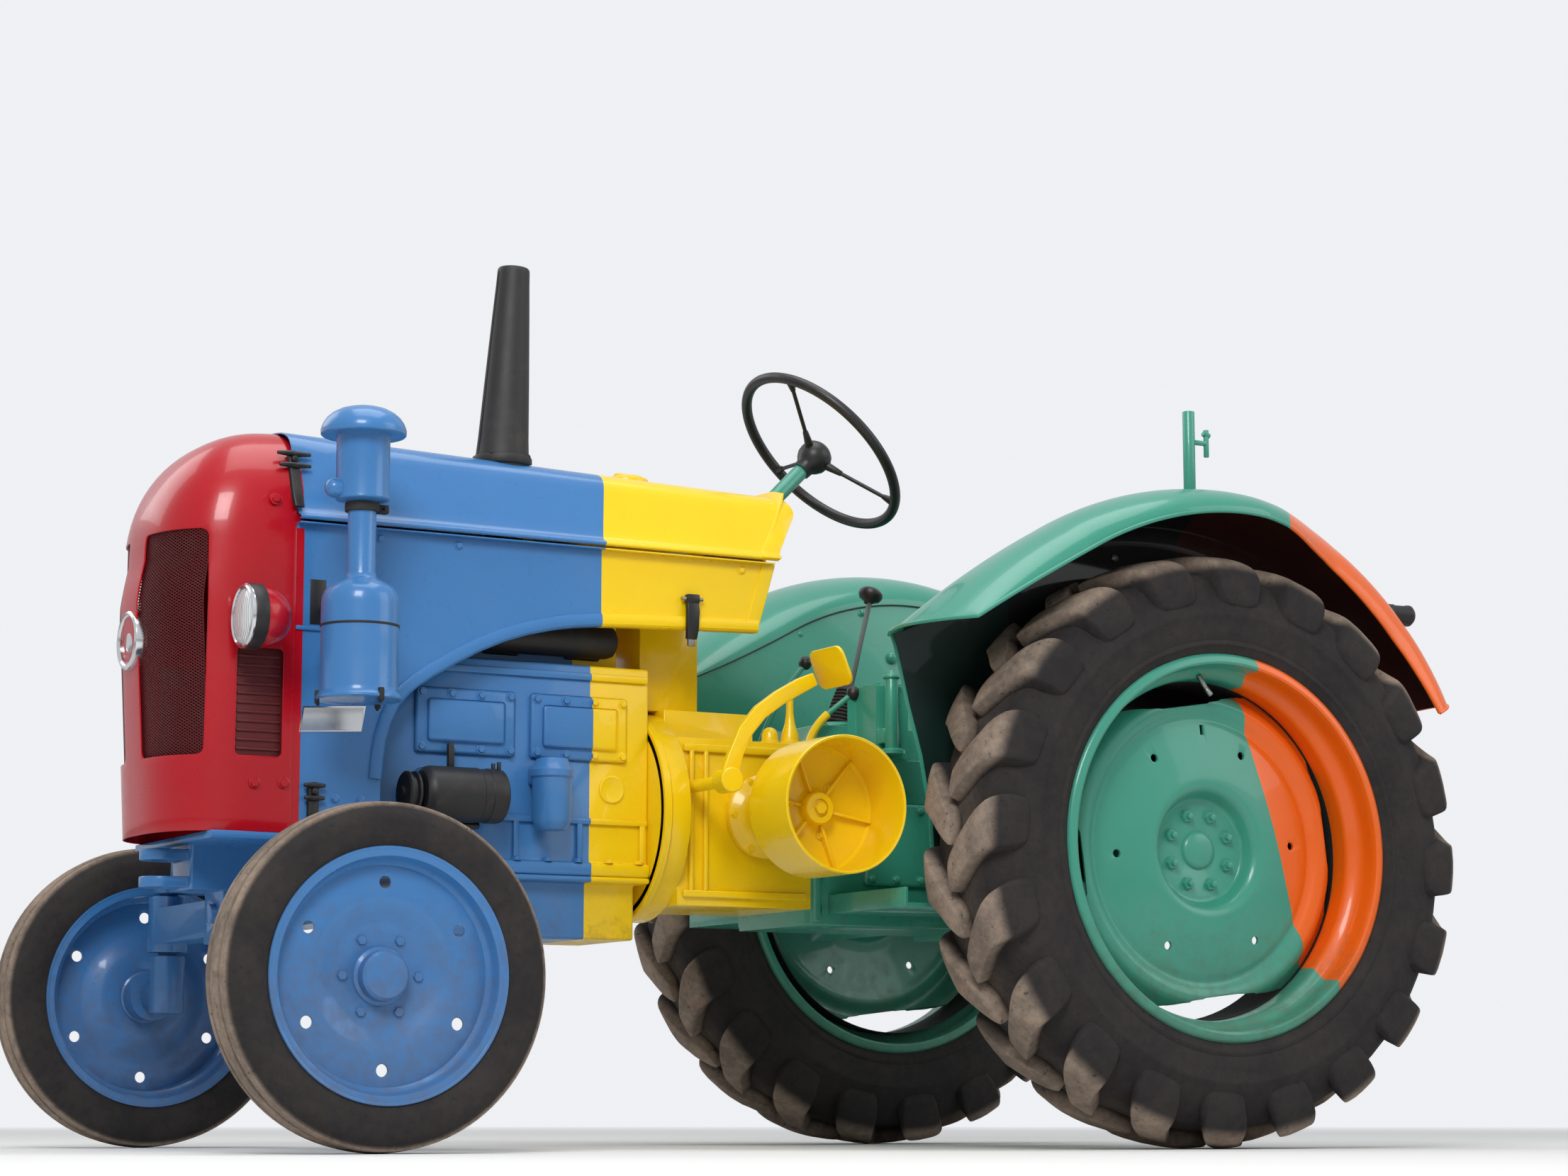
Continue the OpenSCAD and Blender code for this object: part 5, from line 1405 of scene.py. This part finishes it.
def pedal(name, y, pivot, line, pad, wide, tall, reach):
    """A pedal: its hub, a curved arm and a pad with rounded corners."""
    hub = [(0, -22), (22, -22), (24, -20), (24, 20), (22, 22), (0, 22)]
    parts = [flat_bar("arm", [pivot] + line, [20] + [15] * (len(line) - 1) + [13], y - 8, y + 8),
             lathe("hub", hub, at(pivot[0], y, pivot[1]), TO_LEFT, 32)]
    plate = pushed("pad", [(-wide / 2, -tall / 2), (wide / 2, -tall / 2), (wide / 2, tall / 2),
                           (-wide / 2, tall / 2)], 7)
    editing(plate)
    picked(plate, lambda edge: abs(edge.verts[0].co.z - edge.verts[1].co.z) > 0.004, "EDGE")
    bpy.ops.mesh.bevel(offset=0.020, segments=6, affect="EDGES")
    edited()
    rounded(plate, 2, 2, 50)
    treads = []
    for offset in range(-27, 28, 11):
        tread = slab("tread", (-wide / 2 + 14, offset - 2.5, 5.5), (wide / 2 - 14, offset + 2.5, 9), 1)
        treads.append(moved(tread, Matrix.Translation((-AXLE_X, 0, 0))))
    plate = joined("pad", [plate] + treads)
    across = Matrix.Rotation(math.radians(-90), 4, "Z")
    parts.append(moved(plate, tilted(at(pad[0], y + reach, pad[1]), -67) @ across))
    return joined(name, parts)


def make_pedals():
    clutch = [(866, 752), (846, 796), (812, 836), (770, 866), (722, 893), (690, 908)]
    brake = [(745, 700), (743, 760), (735, 818), (718, 868), (696, 904)]
    pieces = [pedal("clutch", 322, (882, 700), clutch, (678, 926), 124, 80, 40)]
    for y in (-330, -410):
        pieces.append(pedal("brake", y, (740, 640), brake, (684, 926), 72, 76, 0))
    for side, x, z, reach in ((1, 882, 700, 336), (-1, 740, 640, 426)):
        shaft = [(0, 150), (16, 150), (16, 162), (12.5, 164), (12.5, reach), (11, reach + 2), (0, reach + 2)]
        pieces.append(lathe("shaft", shaft, at(x, 0, z), OUTWARDS[side], 28))
    done(pieces, "foot_pedals", "chassis", yellow_paint, ["pedals"], 38)


def make_pulley():
    x, z = PULLEY
    lip = PULLEY_LIP
    back = lip - 148
    drum = lathe("drum", [(127, back + 2), (131, back), (133, back + 2.5), (133.6, back + 60),
                          (133.6, lip - 60), (133, lip - 2.5), (131, lip), (127, lip - 2),
                          (125.5, lip - 10), (125, back + 24), (120, back + 18), (60, back + 14),
                          (44, back + 16), (38, back + 18), (34, back + 22), (32, back + 40),
                          (29, back + 44), (18, back + 45), (18, back + 40), (0, back + 40), (0, back - 2),
                          (40, back - 2), (42, back + 6), (120, back + 6), (127, back + 2)], at(x, 0, z),
                 TO_LEFT, 96)
    parts = [drum]
    for turn in range(20, 380, 60):
        web = slab("web", (x - 2.8, back + 10, z + 34), (x + 2.8, back + 30, z + 124), 1.2)
        parts.append(moved(web, about(at(x, back, z), "Y", turn)))
    for turn in range(80, 380, 120):
        parts.append(hex_bolt("bolt", round_axle(at(x, back + 16, z), 52, turn), (0, 1, 0), 13, 7))
    parts.append(hex_bolt("nut", at(x, back + 40, z), (0, 1, 0), 22, 10))
    done(parts, "pulley_drum", "belt_pulley", yellow_paint, ["belt_pulley"], 32)
    face = back - 8
    housing = lathe("housing", [(0, 150), (80, 150), (84, 154), (84, 166), (80, 170), (66, 176), (57, 186),
                                (54, 200), (54, face - 34), (57, face - 26), (64, face - 22),
                                (66, face - 18), (66, face - 3), (63, face), (0, face)], at(x, 0, z),
                    TO_LEFT, 64)
    parts = [housing]
    for turn in range(30, 360, 60):
        parts.append(hex_bolt("bolt", round_axle(at(x, 168, z), 74, turn), (0, 1, 0), 13, 7))
    done(parts, "pulley_housing", "chassis", yellow_paint, ["pulley_drive"], 32)


# Castings and other rigid pieces

# Pieces whose edges are softened: node, width, finish, slot and body
SOFTENED = [
    ("front_support", 4, blue_paint, "paint_blue", "chassis"),
    ("front_axle", 5, blue_paint, "paint_blue", "chassis"),
    ("engine_block", 5, casting_paint, "paint_blue", "chassis"),
    ("cylinder_head", 5, casting_paint, "paint_blue", "chassis"),
    ("oil_sump", 5, casting_paint, "paint_blue", "chassis"),
    ("injection_pump", 3, casting_paint, "paint_blue", "chassis"),
    ("radiator", 3, black_paint, "paint_black", "chassis"),
    ("fuel_tank", 14, casting_paint, "paint_yellow", "chassis"),
    ("steering_column", 3, column_paint, "paint_green", "chassis"),
    ("rear_axle", 6, casting_paint, "paint_green", "chassis"),
    ("foot_plates", 1.5, green_paint, "paint_green", "chassis"),
    ("seat_pan", 1.5, green_paint, "paint_green", "chassis"),
    ("seat_spring", 2, black_paint, "paint_black", "chassis"),
    ("rear_hitch", 3, black_paint, "paint_black", "chassis"),
    ("dash_panel", 1, yellow_paint, "paint_yellow", "chassis"),
    ("knuckle_left", 3, blue_paint, "paint_blue", "knuckle_left"),
    ("knuckle_right", 3, blue_paint, "paint_blue", "knuckle_right"),
    ("tie_rod", 2, steel, "steel", "tie_rod"),
    ("drag_link", 2, steel, "steel", "drag_link"),
    ("drop_arm_lever", 3, blue_paint, "paint_blue", "drop_arm"),
]


def spaced(first, last, count):
    """Evenly spaced values from the first to the last."""
    return [first + (last - first) * index / (count - 1) for index in range(count)]


def make_engine_covers():
    y = ENGINE_HALF
    parts = []
    # Two covers on the left, then core plugs, ribs and flange bolts on both sides of the block
    for low, high in ((1010, 1218), (1250, 1458)):
        parts.append(slab("cover", (low, y - 2, 742), (high, y + 9, 868), 7, 3))
        parts.append(slab("swell", (low + 24, y + 7, 764), (high - 24, y + 15, 846), 7, 3))
        places = [at(x, y + 9, z) for x in spaced(low + 12, high - 12, 4) for z in (753, 857)]
        parts.append(bolts("bolts", places, (0, 1, 0), 12, 6))
    for side in (1, -1):
        out = side * y
        for x in (1040, 1170, 1310, 1440) if side > 0 else (1040,):
            plug = [(0, -1), (27, -1), (27, 2.5), (24, 3.5), (21, 2), (0, 2)]
            parts.append(lathe("plug", plug, at(x, out, 690), OUTWARDS[side], 32))
        parts.append(bolts("bolts", [at(x, out + side * 6, 546) for x in spaced(985, 1505, 9)], (0, 0, 1),
                           13, 7))
        parts.append(slab("rib", (965, y, 620), (1525, y + 8, 632), 3, 2, side))
        parts.append(slab("rib", (965, y, 900), (1525, y + 7, 914), 3, 2, side))
        for x in spaced(975, 1515, 5):
            parts.append(slab("rib", (x - 6, y, 548), (x + 6, y + 7, 624), 3, 2, side))
    # The head's nuts, the rocker cover's nuts and the breather
    parts.append(bolts("nuts", [at(x, 50, 1040) for x in spaced(1040, 1450, 6)], (0, 0, 1), 17, 12))
    parts.append(bolts("nuts", [at(x, -117, 1040) for x in spaced(1040, 1450, 6)], (0, 0, 1), 17, 12))
    nut = [(0, 0), (16, 0), (16, 3), (11, 5), (11, 14), (7, 18), (0, 18)]
    breather = [(0, 0), (19, 0), (19, 16), (28, 18), (29, 30), (27, 36), (14, 40), (0, 41)]
    for x in (1120, 1380):
        parts.append(lathe("nut", nut, at(x, -35, 1120), UP, 24))
    parts.append(lathe("breather", breather, at(1452, 100, 928), UP, 32))
    # Oil filter low on the left
    bowl = [(0, 600), (26, 602), (34, 610), (38, 622), (38, 700), (42, 704), (42, 716), (38, 720), (30, 738),
            (12, 742), (0, 742)]
    parts.append(lathe("filter", bowl, at(1190, y + 46, 0), UP, 36))
    parts.append(slab("arm", (1160, y - 2, 690), (1220, y + 40, 724), 6, 3))
    done(parts, "engine_covers", "chassis", casting_paint)


def make_manifold():
    """The exhaust manifold: a log with three branches, and the riser to the stack."""
    log = [(0, 0), (18, 1), (29, 8), (33, 20), (34, 40), (34, 420), (33, 440), (29, 452), (18, 459),
           (0, 460)]
    parts = [lathe("log", log, at(1015, 98, 984), TO_X, 40)]
    for x in (1070, 1245, 1420):
        parts.append(slab("flange", (x - 38, 57, 950), (x + 38, 70, 1019), 5, 3))
        parts.append(pipe("branch", path((x, 64, 985), (x, 82, 985), (x, 98, 984)), 27, 20, 6))
        parts.append(bolts("nuts", path((x - 29, 70, 962), (x + 29, 70, 1008)), (0, 1, 0), 14, 10))
    top = HOOD_TOP - 24
    riser = [(0, 990), (36, 990), (34, 1024), (31, 1040), (31, 1200), (36, 1204), (36, 1216), (31, 1220),
             (31, top), (0, top)]
    parts.append(lathe("riser", riser, at(*STACK, 0), UP, 40))
    done(parts, "manifold_cast", "chassis", stack_black, ["exhaust_manifold"], 38)


def make_dynamo():
    """The dynamo with its bracket and terminals."""
    y = ENGINE_HALF
    case = [(0, 0), (44, 0), (50, 4), (52, 10), (52, 34), (50.5, 36), (50.5, 52), (52, 54), (52, 150),
            (50, 158), (42, 166), (20, 170), (10, 170), (10, 174), (36, 174), (40, 177), (40, 181),
            (33, 184), (33, 190), (40, 193), (40, 197), (36, 200), (12, 200), (12, 206), (0, 206)]
    parts = [lathe("case", case, at(1300, y + 55, 660), TO_X, 56)]
    parts.append(slab("foot", (1340, y, 600), (1430, y + 22, 640), 3))
    parts.append(rod("pin", at(1332, y + 24, 606), at(1440, y + 24, 606), 6, edge=1))
    parts.append(slab("strap", (1386, y + 18, 711), (1398, y + 30, 760), 2))
    for dy in (-12, 14):
        parts.append(rod("post", at(1312, y + 55 + dy, 708), at(1312, y + 55 + dy, 724), 4, edge=1))
    done(parts, "dynamo_round", "chassis", black_paint, ["dynamo"], 34)


def make_injection_lines():
    y = ENGINE_HALF + 50
    lines = []
    for index, start in enumerate((1220, 1265, 1310, 1355)):
        end = 1075 + index * 115
        line = path((start, -y, 862), (start, -y, 930), ((start + end) / 2, 6 - y, 1000),
                    (end, 30 - y, 1050), (end, -95, 1085), (end, -92, 1052))
        lines.append(pipe("line", line, 3.2, 8, 6))
        lines.append(hex_bolt("nut", at(start, -y, 862), (0, 0, 1), 15, 14, False))
        lines.append(hex_bolt("nut", at(end, -92, 1040), (0, 0, 1), 17, 26, False))
    done(lines, "injection_lines", "chassis", steel)


def make_water_hoses():
    upper = path((1505, -20, 1002), (1545, -20, 1006), (1575, -10, 1040), (1602, 0, 1060))
    lower = path((1528, 60, 640), (1560, 62, 636), (1580, 70, 610), (1602, 74, 596))
    hoses = [pipe("hose", upper, 23, 20, 8), pipe("hose", lower, 21, 20, 8)]
    done(hoses, "water_hoses", "chassis", hose_black)


def make_clutch_housing():
    y = BOX_HALF
    clutch = softened("clutch_housing", 8)
    cut(clutch, slab("gap", (650, 96, 812), (704, 146, 880), 1))
    parts = [clutch]
    for side in (1, -1):
        # Bell housing flange with its bolts
        for count in range(7):
            turn = math.radians(18 + 24 * count)
            spot = at(905, side * 196 * math.sin(turn), 650 + 196 * math.cos(turn))
            parts.append(hex_bolt("bolt", spot, (-1, 0, 0), 15, 9))
        parts.append(slab("rib", (612, y, 486), (890, y + 9, 500), 3, 2, side))
        parts.append(slab("rib", (612, y, 772), (890, y + 9, 788), 3, 2, side))
        for x in (840, 872):
            parts.append(slab("rib", (x - 5, y, 498), (x + 5, y + 9, 776), 3, 2, side))
    # A cover on the right alone, and the ring at the engine's end
    parts.append(slab("cover", (640, y - 2, 560), (800, y + 10, 720), 8, 3, -1))
    places = [at(x, -y - 10, z) for x in (654, 720, 786) for z in (574, 706)]
    parts.append(bolts("bolts", places, (0, -1, 0), 13, 7))
    ring = [(196, 0), (214, 0), (216, 2), (216, 14), (214, 16), (196, 16), (196, 0)]
    parts.append(lathe("ring", ring, at(944, 0, 650), TO_X, 96))
    done(parts, "clutch_casting", "chassis", yellow_paint, ["clutch_housing"])


def make_gearbox():
    y = BOX_HALF
    box = softened("gearbox", 8)
    cut(box, slab("gap", (494, y + 1, 782), (530, y + 90, 930), 1))
    parts = [box]
    for side in (1, -1):
        for x, inward in ((589, -1), (176, 1)):
            parts.append(slab("flange", (x - 9, y - 20, 446), (x + 9, y + 9, 776), 4, 2, side))
            places = [at(x + inward * 10, side * (y + 2), z) for z in spaced(470, 752, 5)]
            parts.append(bolts("bolts", places, (inward, 0, 0), 14, 8))
        parts.append(slab("cover", (280, y - 2, 520), (480, y + 12, 690), 9, 3, side))
        places = [at(x, side * (y + 12), z) for x in spaced(294, 466, 4) for z in (534, 676)]
        parts.append(bolts("bolts", places, (0, side, 0), 13, 7))
        parts.append(bolts("bolts", [at(x, side * 98, 848) for x in spaced(220, 540, 5)], (0, 0, 1), 13, 7))
    parts.append(lathe("tower", [(0, -4), (46, -4), (46, 4), (40, 8), (36, 12), (0, 12)], at(474, 50, 848),
                       UP, 40))
    places = [at(x, y + out, 920) for out in (20, 64) for x in (430, 482)]
    parts.append(bolts("bolts", places, (0, 0, 1), 11, 6))
    foot = [(0, 0), (27, 0), (27, 8), (22, 11), (14, 12), (0, 12)]
    cap = [(0, 0), (16, 0), (17, 3), (17, 8), (8, 9), (7, 17), (0, 18)]
    parts.append(lathe("foot", foot, at(470, y + 100, 778), UP, 32))
    parts.append(lathe("cap", cap, at(470, y + 100, 930), UP, 32))
    for z in (800, 862, 905):
        parts.append(slab("rib", (412, y + 20, z), (420, y + 70, z + 8), 2))
    done(parts, "gearbox_casting", "chassis", green_paint, ["gearbox"])


def soften_castings():
    for node, width, finish, slot, body in SOFTENED:
        done(softened(node, width), node + "_soft", body, finish, [node])


# Stage


def floor_finish(far):
    """A matt pale floor that keeps the shadow and runs into the backdrop's colour far away."""
    material = bpy.data.materials.new("floor_pale")
    floor = Graph(material, "OutputMaterial")
    matt = floor.node("BsdfPrincipled", {}, {"Base Color": (0.8, 0.8, 0.79, 1), "Roughness": 0.9})
    glow = floor.node("Emission", {}, {"Color": far})
    away = floor.node("VectorMath", {"operation": "LENGTH"}, {0: floor.node("TexCoord", output="Object")},
                      "Value")
    fade = floor.node("MapRange", {}, {0: away, 1: 3.0, 2: 11.0})
    seen = floor.node("LightPath", output="Is Camera Ray")
    floor.feed(floor.end, floor.node("MixShader", {}, {0: fade * seen, 1: matt, 2: glow}))
    return material


def make_studio(backdrop):
    """A backdrop for the camera and for reflections, and a dimmer light for all else."""
    world = bpy.data.worlds.new("studio")
    bpy.context.scene.world = world
    studio = Graph(world, "OutputWorld")
    seen = studio.node("Background", {}, {0: backdrop, 1: 1.0})
    light = studio.node("Background", {}, {0: (0.95, 0.97, 1.0, 1), 1: 0.30})
    camera, through, glossy = (studio.node("LightPath", output=f"Is {ray} Ray")
                               for ray in ("Camera", "Transmission", "Glossy"))
    share = camera.larger(through).larger(glossy * 0.7)
    studio.feed(studio.end, studio.node("MixShader", {}, {0: share, 1: light, 2: seen}))


def make_stage():
    bpy.ops.object.select_all(action="DESELECT")
    backdrop = (0.86, 0.875, 0.90, 1)
    bpy.ops.mesh.primitive_plane_add(size=160)
    floor = bpy.context.object
    floor.name = "floor"
    floor.data.materials.append(floor_finish(backdrop))
    make_studio(backdrop)
    lamps = (((3.6, 5.2, 4.8), 2.4, 300), ((-5.0, 4.5, 4.0), 4.0, 95), ((3.5, -5.0, 5.0), 4.0, 90),
             ((0.2, 0.5, 6.0), 4.0, 150))
    for place, size, power in lamps:
        bpy.ops.object.light_add(type="AREA", location=place)
        lamp = bpy.context.object
        lamp.data.shape = "SQUARE"
        lamp.data.size = size
        lamp.data.energy = power
        lamp.rotation_euler = (Vector((0, 0, 0.8)) - Vector(place)).to_track_quat("-Z", "Y").to_euler()


def make_camera():
    """The photograph's view: from floor level, off the front left, through a long lens."""
    yaw = math.radians(29.32)
    pitch = math.radians(8.76)
    toward = Vector((-math.sin(yaw) * math.cos(pitch), -math.cos(yaw) * math.cos(pitch), math.sin(pitch)))
    bpy.ops.object.camera_add(location=at(3982, 6063, 69))
    camera = bpy.context.object
    camera.data.sensor_width = 36
    camera.data.lens = 78.2
    camera.rotation_euler = toward.to_track_quat("-Z", "Y").to_euler()
    camera.data.clip_end = 60
    bpy.context.scene.camera = camera


make_camera()
make_nose()
make_mesh()
make_badge()
make_headlamps()
make_hood_top()
make_hood_sides()
make_plate()
make_catches()
make_filler_cap()
make_stack()
make_air_cleaner()
make_rear_tyre()
make_rear_rims()
make_valves()
make_front_wheels()
make_fenders()
make_lamp_post()
make_tail_lamps()
make_liner_bolts()
make_steering()
make_gear_lever()
make_side_levers()
make_pulley()
make_pedals()
make_engine_covers()
make_manifold()
make_dynamo()
make_injection_lines()
make_water_hoses()
make_clutch_housing()
make_gearbox()
soften_castings()
make_stage()

bpy.context.scene.view_settings.view_transform = "Standard"
